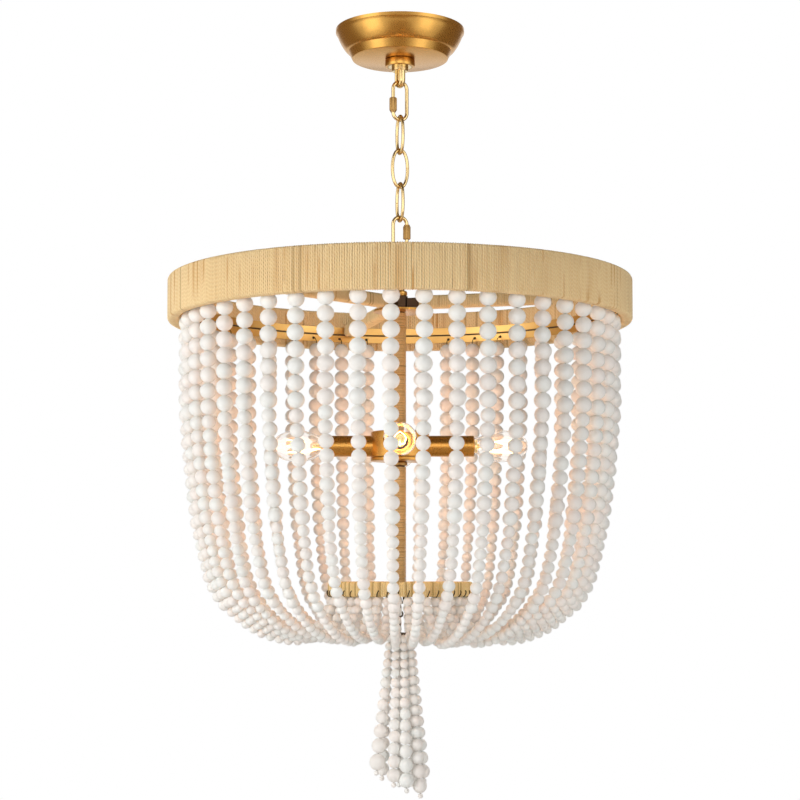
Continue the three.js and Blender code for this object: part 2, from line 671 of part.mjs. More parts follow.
// Eye in the end of the stem, the hook in it and the tassel on the hook
function makeTassel(parent, at) {
  const flangeTop = at.stemBottom - fitGap;
  const flangeBottom = flangeTop - plugFlangeHeight;
  const plugRadius = stemBore / 2 - fitGap;
  const plug = turned([[0, flangeTop + plugLength], [plugRadius, flangeTop + plugLength],
    [plugRadius, flangeTop], [plugFlangeDiameter / 2, flangeTop], [plugFlangeDiameter / 2, flangeBottom],
    [0, flangeBottom]], tubeSides);
  const eyeMiddle = flangeBottom - smallEyeRadius - smallEyeWire / 2;
  const root = flangeTop - eyeMiddle - plugFlangeHeight / 2;
  const eye = swept(archStations(smallEyeRadius, root, smallEyeWire, smallEyeWire), thinWireSides, false);
  eye.translate(0, 0, eyeMiddle);
  addPart(parent, 'stem_end_eye', join(plug, eye), finishes.blackWire);

  const eyeSeat = eyeMiddle - smallEyeRadius + smallEyeWire / 2;
  const hookTop = eyeSeat + linkGap + hookWire;
  const hook = swept(ovalStations(hookLength, hookWidth, hookWire), thinWireSides, true);
  addPart(parent, 'tassel_hook', hook, finishes.blackWire, hookTop - hookLength / 2, Math.PI / 2);

  const hookSeat = hookTop - hookLength + hookWire;
  addPart(parent, 'tassel', tasselGeometry(), finishes.bead, hookSeat + linkGap + tasselEyeWire);
}

// The tassel, with its origin at the top of its wire eye
function tasselGeometry() {
  const eyeMiddle = -tasselEyeRadius - tasselEyeWire / 2;
  const eyeSize = tasselEyeRadius * 2 + tasselEyeWire;
  const eye = swept(ovalStations(eyeSize, eyeSize, tasselEyeWire), thinWireSides, true);
  eye.translate(0, 0, eyeMiddle);
  const wireTop = eyeMiddle - tasselEyeRadius;
  const capTop = wireTop - tasselWireLength;
  const capBottom = capTop - tasselCapHeight;
  const wireRadius = tasselEyeWire / 2;
  const stem = turned([[0, wireTop], [wireRadius, wireTop], [wireRadius, capTop],
    [tasselCapRadius, capBottom + tasselCapHeight / 2], [tasselCapRadius, capBottom], [0, capBottom]],
  tubeSides);

  const length = tasselBeads.reduce((sum, bead) => sum + bead.count * bead.diameter, 0);
  const strand = beadColumn(tasselBeads, (along) => ({
    radius: tasselTopRadius + (tasselSpread * along) / length,
    height: capBottom + tasselCapHeight / 2 - along,
  }));
  const strands = Array.from({ length: tasselStrandCount }, (_, i) =>
    strand.clone().rotateZ((2 * Math.PI * (i + 0.5)) / tasselStrandCount));
  return join(eye, stem, ...strands);
}

// Beads one under the other, each a pair of four-sided cones that meet their neighbours in a neck
function beadColumn(sizes, placeAt) {
  const rings = [];
  const ring = (along, half) => {
    const { radius, height } = placeAt(along);
    rings.push([[half, 0], [0, half], [-half, 0], [0, -half]].map(([out, side]) =>
      new THREE.Vector3(radius + out, side, height)));
  };
  let along = 0;
  for (const { count, diameter } of sizes) {
    for (let i = 0; i < count; i++) {
      ring(along, (diameter / 2) * beadNeckShare);
      ring(along + diameter / 2, diameter / 2);
      along += diameter;
    }
  }
  ring(along, (sizes.at(-1).diameter / 2) * beadNeckShare);
  return skinned(rings, false);
}

// Bead strands
function strandCurve(at) {
  const top = at.drumBottom + strandTopRise;
  const low = at.ringBottom - strandSag;
  const outer = outerFallShares.map(([out, down]) => new THREE.Vector3(
    strandLowRadius + (strandTopRadius - strandLowRadius) * out, 0, top + (low - top) * down));
  const end = at.ringBottom - fitGap;
  const inner = innerRiseShares.map(([out, up]) => new THREE.Vector3(
    strandEndRadius + (strandLowRadius - strandEndRadius) * out, 0, low + (end - low) * up));
  return new THREE.CatmullRomCurve3([...outer, ...inner], false, 'centripetal');
}

function strandGeometry(at) {
  const curve = strandCurve(at);
  const length = curve.getLength();
  // Radius of the bead that lies at a distance along the strand
  const radiusAt = (along) => {
    let end = 0;
    for (const { count, diameter, pitch } of strandBeads) {
      end += count * pitch;
      if (along <= end) return diameter / 2;
    }
    return strandBeads.at(-1).diameter / 2;
  };
  const across = new THREE.Vector3(0, 1, 0);
  const ringAt = (middle, side, half) => [[half, 0], [0, half], [-half, 0], [0, -half]].map(([out, over]) =>
    middle.clone().addScaledVector(side, out).addScaledVector(across, over));
  const stops = strandStopShares.map((share) => share * length);
  const rings = stops.map((along) => {
    const share = along / length;
    const tangent = curve.getTangentAt(share);
    const side = new THREE.Vector3().crossVectors(across, tangent);
    return ringAt(curve.getPointAt(share), side, radiusAt(along));
  });
  // The wire hook runs from the first bead up and out to the hoop
  const inward = new THREE.Vector3(-1, 0, 0);
  const top = curve.getPointAt(0);
  rings.unshift(ringAt(top.clone().setZ(top.z + strandHookWire), inward, strandHookWire / 2));
  const hookEnd = new THREE.Vector3(hoopInner - fitGap, 0, at.drumBottom + strandHookRise);
  rings.unshift(ringAt(hookEnd, new THREE.Vector3(0, 0, 1), strandHookWire / 2));
  return skinned(rings, false);
}

function makeStrands(parent, at) {
  const pitch = (2 * Math.PI) / strandCount;
  const middle = (strandsInGroup - 1) / 2;
  const turns = Array.from({ length: strandsInGroup }, (_, i) => (i - middle) * pitch);
  const strand = strandGeometry(at);
  // The tie bends inside the beads
  const tie = swept(turns.map((turn) => {
    const side = [Math.cos(turn), Math.sin(turn)];
    return { at: side.map((share) => share * strandTieRadius), side, half: strandTieWire / 2 };
  }), thinWireSides, false);
  tie.rotateX(Math.PI / 2).translate(0, 0, at.ringBottom - fitGap - strandTieDrop);
  const group = join(tie, ...turns.map((turn) => strand.clone().rotateZ(turn)));
  const groups = strandCount / strandsInGroup;
  for (let i = 0; i < groups; i++) {
    const yaw = degrees(strandPhaseDegrees) + (i * strandsInGroup + middle) * pitch;
    addPart(parent, `bead_strands_${i + 1}`, group, finishes.bead, 0, yaw);
  }
}

makeCeilingFitting(chandelier);
makeCanopy(chandelier);
const firstSeat = noseBottom - ceilingEyeReach + ceilingEyeBar;
const lastSeat = makeChain(chandelier, firstSeat);
const heights = frameHeights(lastSeat);
makeHubAndArms(chandelier, heights);
makeStem(chandelier, heights);
makeCluster(chandelier, heights);
makeLowerRing(chandelier, heights);
makeTassel(chandelier, heights);
const shade = new THREE.Group();
shade.rotation.z = degrees(strandPhaseDegrees);
chandelier.add(shade);
makeDrum(shade, heights);
makeStrands(chandelier, heights);

export default chandelier;
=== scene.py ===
import math
import random

import bmesh
import bpy
from mathutils import Matrix, Vector


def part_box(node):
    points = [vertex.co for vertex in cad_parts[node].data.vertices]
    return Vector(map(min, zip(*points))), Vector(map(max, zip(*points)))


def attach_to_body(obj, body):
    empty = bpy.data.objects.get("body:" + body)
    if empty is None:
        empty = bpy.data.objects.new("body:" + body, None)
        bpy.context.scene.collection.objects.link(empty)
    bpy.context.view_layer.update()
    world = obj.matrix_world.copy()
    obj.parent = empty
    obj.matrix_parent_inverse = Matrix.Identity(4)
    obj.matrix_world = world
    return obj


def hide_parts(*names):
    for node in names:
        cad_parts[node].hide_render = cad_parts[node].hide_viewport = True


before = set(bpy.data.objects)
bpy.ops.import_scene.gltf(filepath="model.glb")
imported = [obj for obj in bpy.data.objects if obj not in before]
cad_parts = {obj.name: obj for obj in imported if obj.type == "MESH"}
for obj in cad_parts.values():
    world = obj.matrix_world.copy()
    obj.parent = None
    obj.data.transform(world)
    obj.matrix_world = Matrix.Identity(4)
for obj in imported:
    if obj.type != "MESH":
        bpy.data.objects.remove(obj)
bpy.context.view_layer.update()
mm = 0.001
print("frame loaded")

view = {
    "distance": 2036,
    "height": -603.5,
    "pitch": 2.94,
    "sensor": 36,
    "lens": 83.8,
    "shiftUp": 0.1,  # share of the picture
}


def makeCamera():
    data = bpy.data.cameras.new("photoCamera")
    data.lens, data.sensor_width, data.shift_y = view["lens"], view["sensor"], view["shiftUp"]
    camera = bpy.data.objects.new("photoCamera", data)
    camera.location = (0, -view["distance"] * mm, view["height"] * mm)
    camera.rotation_euler = (math.radians(90 + view["pitch"]), 0, 0)
    bpy.context.scene.collection.objects.link(camera)
    bpy.context.scene.camera = camera


makeCamera()


# Node helpers
def socketOf(sockets, name):
    if isinstance(name, int):
        return sockets[name]
    return next(s for s in sockets if s.name == name and s.enabled)


def addNode(tree, kind, inputs=None, **settings):
    node = tree.nodes.new(kind)
    for name, value in settings.items():
        setattr(node, name, value)
    for name, value in (inputs or {}).items():
        socket = socketOf(node.inputs, name)
        if isinstance(value, bpy.types.NodeSocket):
            tree.links.new(value, socket)
        else:
            socket.default_value = value
    return node


def outputOf(tree, kind, inputs=None, **settings):
    return addNode(tree, kind, inputs, **settings).outputs[0]


def mathNode(tree, operation, *values):
    return outputOf(tree, "ShaderNodeMath", dict(enumerate(values)), operation=operation)


def times(tree, one, other):
    return mathNode(tree, "MULTIPLY", one, other)


def vectorMath(tree, operation, vector, other):
    # Other is a number for SCALE and a vector for the rest
    inputs = {0: vector, "Scale" if operation == "SCALE" else 1: other}
    return outputOf(tree, "ShaderNodeVectorMath", inputs, operation=operation)


def combine(tree, x=0.0, y=0.0, z=0.0):
    return outputOf(tree, "ShaderNodeCombineXYZ", {"X": x, "Y": y, "Z": z})


def noise(tree, place, scale, detail):
    return outputOf(tree, "ShaderNodeTexNoise", {"Vector": place, "Scale": scale, "Detail": detail})


def objectPlace(tree):
    return tree.nodes.new("ShaderNodeTexCoord").outputs["Object"]


def newTree(name, kind, inputs, outputs):
    tree = bpy.data.node_groups.new(name, kind)
    for label, socketType, *value in inputs:
        item = tree.interface.new_socket(label, in_out="INPUT", socket_type=f"NodeSocket{socketType}")
        if value:
            item.default_value = value[0]
    for label, socketType in outputs:
        tree.interface.new_socket(label, in_out="OUTPUT", socket_type=f"NodeSocket{socketType}")
    return tree, tree.nodes.new("NodeGroupInput").outputs, tree.nodes.new("NodeGroupOutput").inputs


# Shader groups
def makeYarnGroup():
    # Twisted yarn: a height with streaks along the cord and a lay that spirals round it
    tree, given, wanted = newTree("twistedYarn", "ShaderNodeTree", [
        ("Along", "Float"), ("Around", "Float"), ("Tone", "Float"), ("Twist Length", "Float", 0.004),
        ("Streak Scale", "Float", 60.0), ("Streaks Around", "Float", 9.0), ("Lay Depth", "Float", 0.28)],
        [("Height", "Float")])
    along = times(tree, given["Along"], given["Streak Scale"])
    around = times(tree, given["Around"], given["Streaks Around"])
    offset = times(tree, given["Tone"], 57.0)  # so that no two turns look the same
    streak = noise(tree, combine(tree, along, around, offset), 1.0, 3.0)
    turns = mathNode(tree, "DIVIDE", given["Along"], given["Twist Length"])
    phase = mathNode(tree, "MULTIPLY_ADD", given["Around"], 2.0, mathNode(tree, "ADD", turns, offset))
    wave = mathNode(tree, "SINE", times(tree, phase, 2 * math.pi))
    tree.links.new(mathNode(tree, "MULTIPLY_ADD", wave, given["Lay Depth"], streak), wanted["Height"])
    return tree


def makeGrainGroup():
    # Two grains between 0 and 1: a soft cloud and a fine speckle
    tree, given, wanted = newTree("surfaceGrain", "ShaderNodeTree", [
        ("Cloud Scale", "Float", 30.0), ("Speckle Scale", "Float", 400.0)],
        [("Cloud", "Float"), ("Speckle", "Float")])
    place = objectPlace(tree)
    for label, detail in (("Cloud", 2.0), ("Speckle", 3.0)):
        tree.links.new(noise(tree, place, given[f"{label} Scale"], detail), wanted[label])
    return tree


twistedYarn = makeYarnGroup()
surfaceGrain = makeGrainGroup()


# Finishes
def startMaterial(name, settings):
    material = bpy.data.materials.new(name)
    material.use_nodes = True
    shader = material.node_tree.nodes["Principled BSDF"]
    for label, value in settings.items():
        shader.inputs[label].default_value = value
    return material, material.node_tree, shader


def addGrain(tree, cloudScale, speckleScale):
    scales = {"Cloud Scale": cloudScale, "Speckle Scale": speckleScale}
    grain = addNode(tree, "ShaderNodeGroup", scales, node_tree=surfaceGrain)
    return grain.outputs["Cloud"], grain.outputs["Speckle"]


def mixColour(tree, factor, low, high):
    node = addNode(tree, "ShaderNodeMix", {"Factor": factor}, data_type="RGBA")
    for label, colour in (("A", low), ("B", high)):
        socket = socketOf(node.inputs, label)
        if isinstance(colour, bpy.types.NodeSocket):
            tree.links.new(colour, socket)
        else:
            socket.default_value = (*colour, 1)
    return socketOf(node.outputs, "Result")


def spread(tree, value, low, high, start=0.0, end=1.0):
    return outputOf(tree, "ShaderNodeMapRange", {
        "Value": value, "From Min": start, "From Max": end, "To Min": low, "To Max": high})


def addBump(tree, shader, height, distance, strength):
    bump = outputOf(tree, "ShaderNodeBump", {"Height": height, "Distance": distance, "Strength": strength})
    tree.links.new(bump, shader.inputs["Normal"])


def makeMetal(name, colour, shade, roughness, grain=0.12):
    # Satin metal: slight colour clouding, uneven polish and a hairline grain
    material, tree, shader = startMaterial(name, {"Metallic": 1.0})
    cloud, speckle = addGrain(tree, 45.0, 1100.0)
    tree.links.new(mixColour(tree, cloud, shade, colour), shader.inputs["Base Color"])
    tree.links.new(spread(tree, speckle, roughness - 0.03, roughness + 0.05), shader.inputs["Roughness"])
    addBump(tree, shader, speckle, 0.00004, grain)
    return material


twineLook = {  # noise scales, and shares of the turns or of the range
    "patchScale": 22.0,
    "patchFrom": 0.42,
    "patchTo": 0.62,
    "stainScale": 42.0,
    "stainFlatness": 0.12,
    "stainFrom": 0.62,
    "stainTo": 0.74,
    "rustyFrom": 0.84,
    "rustyTo": 0.94,
}


def makeTwine(name, pale, straw, rust, darkFibreAndShadeShare=0.01):
    # Yarn that shows its lay. Some turns are rusty along part of their length, and a few are darkened: partly
    # dark fibre, partly painted shade for the grooves between turns.
    s = twineLook
    material, tree, shader = startMaterial(name, {
        "Roughness": 0.85, "Specular IOR Level": 0.25, "Sheen Weight": 0.15})
    values = {label: addNode(tree, "ShaderNodeAttribute", attribute_name=label.lower()).outputs["Fac"]
              for label in ("Along", "Around", "Tone")}
    tone = values["Tone"]
    height = addNode(tree, "ShaderNodeGroup", values, node_tree=twistedYarn).outputs["Height"]
    place = objectPlace(tree)
    patch = spread(tree, noise(tree, place, s["patchScale"], 3.0), 0.0, 0.85, s["patchFrom"], s["patchTo"])
    turns = times(tree, patch, spread(tree, tone, 0.0, 1.0, s["rustyFrom"], s["rustyTo"]))
    upright = outputOf(tree, "ShaderNodeMapping", {"Vector": place, "Scale": (1, 1, s["stainFlatness"])})
    stain = noise(tree, upright, s["stainScale"], 2.0)
    rusty = mathNode(tree, "MAXIMUM", turns, spread(tree, stain, 0.0, 0.55, s["stainFrom"], s["stainTo"]))
    # Darkened turns: partly dark fibre, partly painted shade standing in for the grooves between turns
    dark = spread(tree, tone, 0.55, 0.0, darkFibreAndShadeShare, darkFibreAndShadeShare * 3)
    # Colour follows the lay's height: lighter on its ridges and darker in its valleys as painted shade, mixed
    # with the real fibre streaks and each turn's tone
    lay = mathNode(tree, "MULTIPLY_ADD", tone, 0.3, times(tree, height, 0.7))
    stained = mixColour(tree, rusty, mixColour(tree, lay, straw, pale), rust)
    tree.links.new(mixColour(tree, dark, stained, [part * 0.6 for part in rust]), shader.inputs["Base Color"])
    addBump(tree, shader, height, 0.0004, 0.8)
    return material


def makeBeadWood():
    # Whitewashed wood: chalky, each bead a little warmer or cooler than the next
    material, tree, shader = startMaterial("whitewashedWood", {"Specular IOR Level": 0.35})
    tone = addNode(tree, "ShaderNodeAttribute", attribute_name="tone").outputs["Fac"]
    cloud, speckle = addGrain(tree, 140.0, 1400.0)
    body = mixColour(tree, tone, (0.93, 0.88, 0.84), (0.90, 0.915, 0.89))
    worn = mixColour(tree, spread(tree, cloud, -0.3, 0.4), body, (0.85, 0.79, 0.71))
    tree.links.new(worn, shader.inputs["Base Color"])
    tree.links.new(spread(tree, speckle, 0.5, 0.72), shader.inputs["Roughness"])
    addBump(tree, shader, speckle, 0.0002, 0.35)
    return material


def makePlain(name, dark, light, roughness):
    # Dull surface with a speckle, for fibre, plastic and board
    material, tree, shader = startMaterial(name, {})
    cloud, speckle = addGrain(tree, 30.0, 400.0)
    tree.links.new(mixColour(tree, speckle, dark, light), shader.inputs["Base Color"])
    tree.links.new(spread(tree, cloud, roughness - 0.08, roughness + 0.08), shader.inputs["Roughness"])
    addBump(tree, shader, speckle, 0.0001, 0.3)
    return material


def makeClouded(name, settings, socket, cloudScale, low, high):
    # One colour socket of the shader clouded, for glass and for what glows
    material, tree, shader = startMaterial(name, settings)
    cloud, _ = addGrain(tree, cloudScale, 400.0)
    tree.links.new(mixColour(tree, cloud, low, high), shader.inputs[socket])
    return material


finishes = {
    "satin_brass": makeMetal("satinBrass", (0.68, 0.38, 0.095), (0.58, 0.30, 0.07), 0.27),
    "pale_brass": makeMetal("paleBrass", (0.80, 0.62, 0.32), (0.70, 0.51, 0.23), 0.2, 0.05),
    # Brighter, warmer brass than the hoops' own dark_brass: painted reflection of the bulbs' warm light on
    # the hoops
    "hoop_brass_bulb_lit": makeMetal("hoopBrass", (0.93, 0.58, 0.20), (0.84, 0.48, 0.14), 0.34),
    "dark_brass": makeMetal("darkBrass", (0.46, 0.28, 0.10), (0.34, 0.19, 0.06), 0.3),
    "bronze": makeMetal("darkBronze", (0.085, 0.05, 0.028), (0.05, 0.03, 0.018), 0.32),
    "steel": makeMetal("zincSteel", (0.62, 0.62, 0.6), (0.5, 0.5, 0.48), 0.36),
    "black_wire": makeMetal("blackWire", (0.12, 0.085, 0.05), (0.06, 0.045, 0.03), 0.4),
    "twine": makeTwine("drumTwine", (0.97, 0.77, 0.45), (0.82, 0.57, 0.27), (0.66, 0.35, 0.11)),
    "arm_twine": makeTwine("armTwine", (0.93, 0.75, 0.44), (0.80, 0.60, 0.29), (0.62, 0.36, 0.12)),
    "stem_twine": makeTwine("stemTwine", (0.82, 0.58, 0.27), (0.66, 0.42, 0.16), (0.54, 0.30, 0.09)),
    # The ring gets more darkened turns than the other windings: painted shade in the grooves between its
    # turns
    "ring_twine": makeTwine("ringTwine", (0.99, 0.80, 0.42), (0.90, 0.66, 0.28), (0.66, 0.40, 0.12), 0.07),
    "core": makePlain("darkCore", (0.10, 0.07, 0.04), (0.16, 0.11, 0.06), 0.7),
    "beads": makeBeadWood(),
    "thread": makePlain("beadThread", (0.22, 0.19, 0.16), (0.38, 0.34, 0.30), 0.8),
    "lampholder": makePlain("darkLampholder", (0.03, 0.025, 0.022), (0.06, 0.05, 0.045), 0.5),
    "glass": makeClouded("clearGlass", {"Transmission Weight": 1.0, "Roughness": 0.01, "IOR": 1.3},
                         "Base Color", 30.0, (0.97, 0.95, 0.92), (1, 0.98, 0.96)),
    "glow": makeClouded("hotFilament", {"Base Color": (0.9, 0.6, 0.3, 1), "Emission Strength": 9.0},
                        "Emission Color", 200.0, (1, 0.5, 0.15), (1, 0.68, 0.32)),
}
print("finishes made")


# Mesh helpers. Shapes are drawn in millimetres and turned into metres when they become a mesh.
def linkObject(name, data):
    piece = bpy.data.objects.new(name, data)
    bpy.context.scene.collection.objects.link(piece)
    return piece


def placement(height=0, yaw=0, tilt=0):
    # Laid over by tilt, turned by yaw and lifted to its height
    turn = Matrix.Rotation(math.radians(yaw), 4, "Z") @ Matrix.Rotation(math.radians(tilt), 4, "Y")
    return Matrix.Translation((0, 0, height * mm)) @ turn


def meshPiece(name, shapes, finish, sharpAngle=32, **lay):
    # One mesh from a list of (points, faces)
    points, faces = [], []
    for corners, sheets in shapes:
        faces += [[len(points) + i for i in sheet] for sheet in sheets]
        points += corners
    mesh = bpy.data.meshes.new(name)
    mesh.from_pydata([Vector(p) * mm for p in points], [], faces)
    mesh.transform(placement(**lay))
    shape = bmesh.new()
    shape.from_mesh(mesh)
    bmesh.ops.remove_doubles(shape, verts=shape.verts, dist=1e-7)
    bmesh.ops.recalc_face_normals(shape, faces=shape.faces)
    shape.to_mesh(mesh)
    shape.free()
    mesh.shade_smooth()
    mesh.set_sharp_from_angle(angle=math.radians(sharpAngle))
    mesh.materials.append(finishes[finish])
    return linkObject(name, mesh)


def onCircle(radius, degrees):
    return radius * math.cos(math.radians(degrees)), radius * math.sin(math.radians(degrees))


def turned(profile, sides=96):
    # A profile of [radius, height] points turned about Z. A profile that is off the axis closes on itself.
    points, rows = [], []
    for radius, height in profile:
        if radius == 0:
            rows.append([len(points)] * sides)
            points.append((0, 0, height))
        else:
            rows.append(range(len(points), len(points) + sides))
            points += [(*onCircle(radius, 360 * i / sides), height) for i in range(sides)]
    pairs = list(zip(rows, rows[1:]))
    if profile[0][0] or profile[-1][0]:
        pairs.append((rows[-1], rows[0]))
    faces = []
    for low, high in pairs:
        for i in range(sides):
            j = (i + 1) % sides
            face = list(dict.fromkeys((low[i], low[j], high[j], high[i])))
            if len(face) > 2:
                faces.append(face)
    return points, faces


def swept(stations, closed=False, sides=20):
    # A bar through stations (x, z, sideways x, sideways z, half size sideways, half size along Y)
    points = []
    for x, z, sideX, sideZ, half, halfWidth in stations:
        for i in range(sides):
            out, across = onCircle(1, 360 * i / sides)
            points.append((x + sideX * half * out, halfWidth * across, z + sideZ * half * out))
    count = len(stations)
    faces = []
    for i in range(count if closed else count - 1):
        near, far = i * sides, (i + 1) % count * sides
        faces += [(near + j, near + (j + 1) % sides, far + (j + 1) % sides, far + j) for j in range(sides)]
    if not closed:
        faces += [list(range(sides)), list(range((count - 1) * sides, count * sides))]
    return points, faces


def arcStations(radius, middle, startDegrees, half, halfWidth, steps=16):
    # Half a circle round a point of the axis
    rows = []
    for i in range(steps + 1):
        x, z = onCircle(1, startDegrees + 180 * i / steps)
        rows.append((radius * x, middle + radius * z, x, z, half, halfWidth))
    return rows


def bentBar(tip, legEnd, bar, sides=20):
    # An upright or hanging eye with two legs. Bar is its radius, half size and half width.
    radius, *size = bar
    side = 1 if tip > legEnd else -1
    start, end = [(x * radius, legEnd, x, 0, *size) for x in (side, -side)]
    arc = arcStations(radius, tip - side * (radius + size[0]), 90 - 90 * side, *size)
    return swept([start, *arc, end], sides=sides)


def smoothPath(points, perSpan):
    # Centripetal Catmull-Rom curve through the points
    points = [Vector(p) for p in points]
    padded = [2 * points[0] - points[1], *points, 2 * points[-1] - points[-2]]
    path = []
    for a, b, c, d in zip(padded, padded[1:], padded[2:], padded[3:]):
        t1 = (b - a).length ** 0.5
        t2 = t1 + (c - b).length ** 0.5
        t3 = t2 + (d - c).length ** 0.5
        for i in range(perSpan):
            t = t1 + (t2 - t1) * i / perSpan
            ab = a.lerp(b, t / t1)
            bc = b.lerp(c, (t - t1) / (t2 - t1))
            cd = c.lerp(d, (t - t2) / (t3 - t2))
            path.append(ab.lerp(bc, t / t2).lerp(bc.lerp(cd, (t - t1) / (t3 - t1)), (t - t1) / (t2 - t1)))
    return [*path, points[-1]]


def placesAlong(path, distances):
    places, walked, i = [], 0.0, 0
    for distance in distances:
        while i < len(path) - 2 and walked + (path[i + 1] - path[i]).length < distance:
            walked += (path[i + 1] - path[i]).length
            i += 1
        step = path[i + 1] - path[i]
        places.append(path[i] + step * ((distance - walked) / step.length))
    return places


def attach(piece, body, slot, *nodes):
    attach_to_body(piece, body)
    if nodes:
        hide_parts(*nodes)


def span(node):
    # Lowest and highest point of a node, in millimetres
    low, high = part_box(node)
    return low[2] / mm, high[2] / mm


def middleOf(node):
    return sum(span(node)) / 2


def makeRing(name, node, body, finish, sizes):
    # A turned ring with softened edges in the place of its node. Sizes are bore, radius and edge.
    bore, outer, edge = sizes
    low, high = span(node)
    part = edge * 0.3
    profile = [(bore, low), (outer - edge, low), (outer - part, low + part), (outer, low + edge),
               (outer, high - edge), (outer - part, high - part), (outer - edge, high), (bore, high)]
    attach(meshPiece(name, [turned(profile)], finish), body, finish, node)


# Geometry Nodes
def runTree(name, tree, mesh, values):
    # Runs a tree on a mesh and leaves its result as a plain mesh
    piece = linkObject(name, mesh)
    modifier = piece.modifiers.new(tree.name, "NODES")
    modifier.node_group = tree
    for item in tree.interface.items_tree:
        if item.in_out == "INPUT" and item.name in values:
            modifier[item.identifier] = values[item.name]
    graph = bpy.context.evaluated_depsgraph_get()
    made = bpy.data.meshes.new_from_object(
        piece.evaluated_get(graph), preserve_all_data_layers=True, depsgraph=graph)
    piece.modifiers.clear()
    piece.data = made
    return piece


def pathMesh(paths, closed=False, sizes=None):
    # Edges along each path, given in millimetres, with an optional size in metres for each point
    mesh = bpy.data.meshes.new("path")
    points = [Vector(p) * mm for path in paths for p in path]
    edges, start = [], 0
    for path in paths:
        count = len(path)
        edges += [(start + i, start + i + 1) for i in range(count - 1)]
        if closed:
            edges.append((start + count - 1, start))
        start += count
    mesh.from_pydata(points, edges, [])
    if sizes:
        mesh.attributes.new("beadSize", "FLOAT", "POINT").data.foreach_set("value", sizes)
    return mesh


def wind(name, tree, path, cord, finish, values=None, closed=False):
    # Turns of a cord along the path, or a single wire. The cord is in millimetres, the values in metres.
    given = {"Cord Radius": cord / 2 * mm, "Finish": finishes[finish], **(values or {})}
    return runTree(name, tree, pathMesh([path], closed), given)


def geometryTree(name, inputs):
    geometry = [("Geometry", "Geometry")]
    return newTree(name, "GeometryNodeTree", [*geometry, *inputs, ("Finish", "Material")], geometry)


def storeValue(tree, geometry, name, value, domain="POINT"):
    inputs = {"Geometry": geometry, "Name": name, "Value": value}
    return outputOf(tree, "GeometryNodeStoreNamedAttribute", inputs, data_type="FLOAT", domain=domain)


def randomValue(tree, given, use, low, high, kind="FLOAT"):
    # Each use of a tree's seed has a number of its own
    seed = mathNode(tree, "ADD", given["Seed"], use)
    node = addNode(tree, "FunctionNodeRandomValue", {"Min": low, "Max": high, "Seed": seed}, data_type=kind)
    return socketOf(node.outputs, "Value")


def eitherWay(tree, given, use, size):
    return randomValue(tree, given, use, times(tree, size, -1.0), size)


def circleOf(tree, radius, sides):
    return outputOf(tree, "GeometryNodeCurvePrimitiveCircle", {"Resolution": sides, "Radius": radius})


def sweep(tree, curve, profile):
    return outputOf(tree, "GeometryNodeCurveToMesh", {
        "Curve": curve, "Profile Curve": profile, "Fill Caps": True})


def placeOn(tree, points, shape, rotation, scale=(1, 1, 1), selection=True):
    return outputOf(tree, "GeometryNodeInstanceOnPoints", {
        "Points": points, "Instance": shape, "Rotation": rotation, "Scale": scale, "Selection": selection})


def realize(tree, copies):
    return outputOf(tree, "GeometryNodeRealizeInstances", {"Geometry": copies})


def dress(tree, geometry, finish):
    return outputOf(tree, "GeometryNodeSetMaterial", {"Geometry": geometry, "Material": finish})


def tonedCopies(tree, given, copies):
    # Real, smooth copies in the tree's finish, each with a random tone
    toned = storeValue(tree, copies, "tone", randomValue(tree, given, 2, 0.0, 1.0), "INSTANCE")
    smooth = outputOf(tree, "GeometryNodeSetShadeSmooth", {"Geometry": realize(tree, toned)})
    return dress(tree, smooth, given["Finish"])


def makeWindingTree(name, straight):
    # Turns of twine: one turn along the given path, repeated round an axis or along a straight step
    tree, given, wanted = geometryTree(name, [
        ("Turns", "Int", 1), ("Cord Radius", "Float", 0.001), ("Sides", "Int", 6), ("Middle", "Vector"),
        ("Step", "Vector"), ("Wobble", "Float"), ("Lean", "Float"), ("Seed", "Int", 1)])
    parameter = tree.nodes.new("GeometryNodeSplineParameter").outputs
    curve = outputOf(tree, "GeometryNodeMeshToCurve", {"Mesh": given["Geometry"]})
    path = storeValue(tree, curve, "along", parameter["Length"])
    circle = circleOf(tree, given["Cord Radius"], given["Sides"])
    turn = sweep(tree, path, storeValue(tree, circle, "around", parameter["Factor"]))
    index = outputOf(tree, "GeometryNodeInputIndex")
    turning = times(tree, mathNode(tree, "DIVIDE", index, given["Turns"]), 0.0 if straight else 2 * math.pi)
    moved = vectorMath(tree, "ADD", given["Middle"], vectorMath(tree, "SCALE", given["Step"], index))
    shake = eitherWay(tree, given, 0, given["Wobble"])
    shaken = vectorMath(tree, "ADD", moved, combine(tree, shake, shake, shake))
    points = outputOf(tree, "GeometryNodePoints", {"Count": given["Turns"], "Position": shaken})
    spin = combine(tree, x=eitherWay(tree, given, 1, given["Lean"]), z=turning)
    tree.links.new(tonedCopies(tree, given, placeOn(tree, points, turn, spin)), wanted["Geometry"])
    return tree


def makeCopiesTree():
    # Copies of one shape round the axis, welded where they meet
    tree, given, wanted = geometryTree("copiesRound", [
        ("Count", "Int", 45), ("Phase", "Float"), ("Weld", "Float")])
    index = outputOf(tree, "GeometryNodeInputIndex")
    share = mathNode(tree, "DIVIDE", index, given["Count"])
    spin = combine(tree, z=mathNode(tree, "MULTIPLY_ADD", share, 2 * math.pi, given["Phase"]))
    points = outputOf(tree, "GeometryNodePoints", {"Count": given["Count"]})
    real = realize(tree, placeOn(tree, points, given["Geometry"], spin))
    welded = outputOf(tree, "GeometryNodeMergeByDistance", {"Geometry": real, "Distance": given["Weld"]})
    tree.links.new(dress(tree, welded, given["Finish"]), wanted["Geometry"])
    return tree


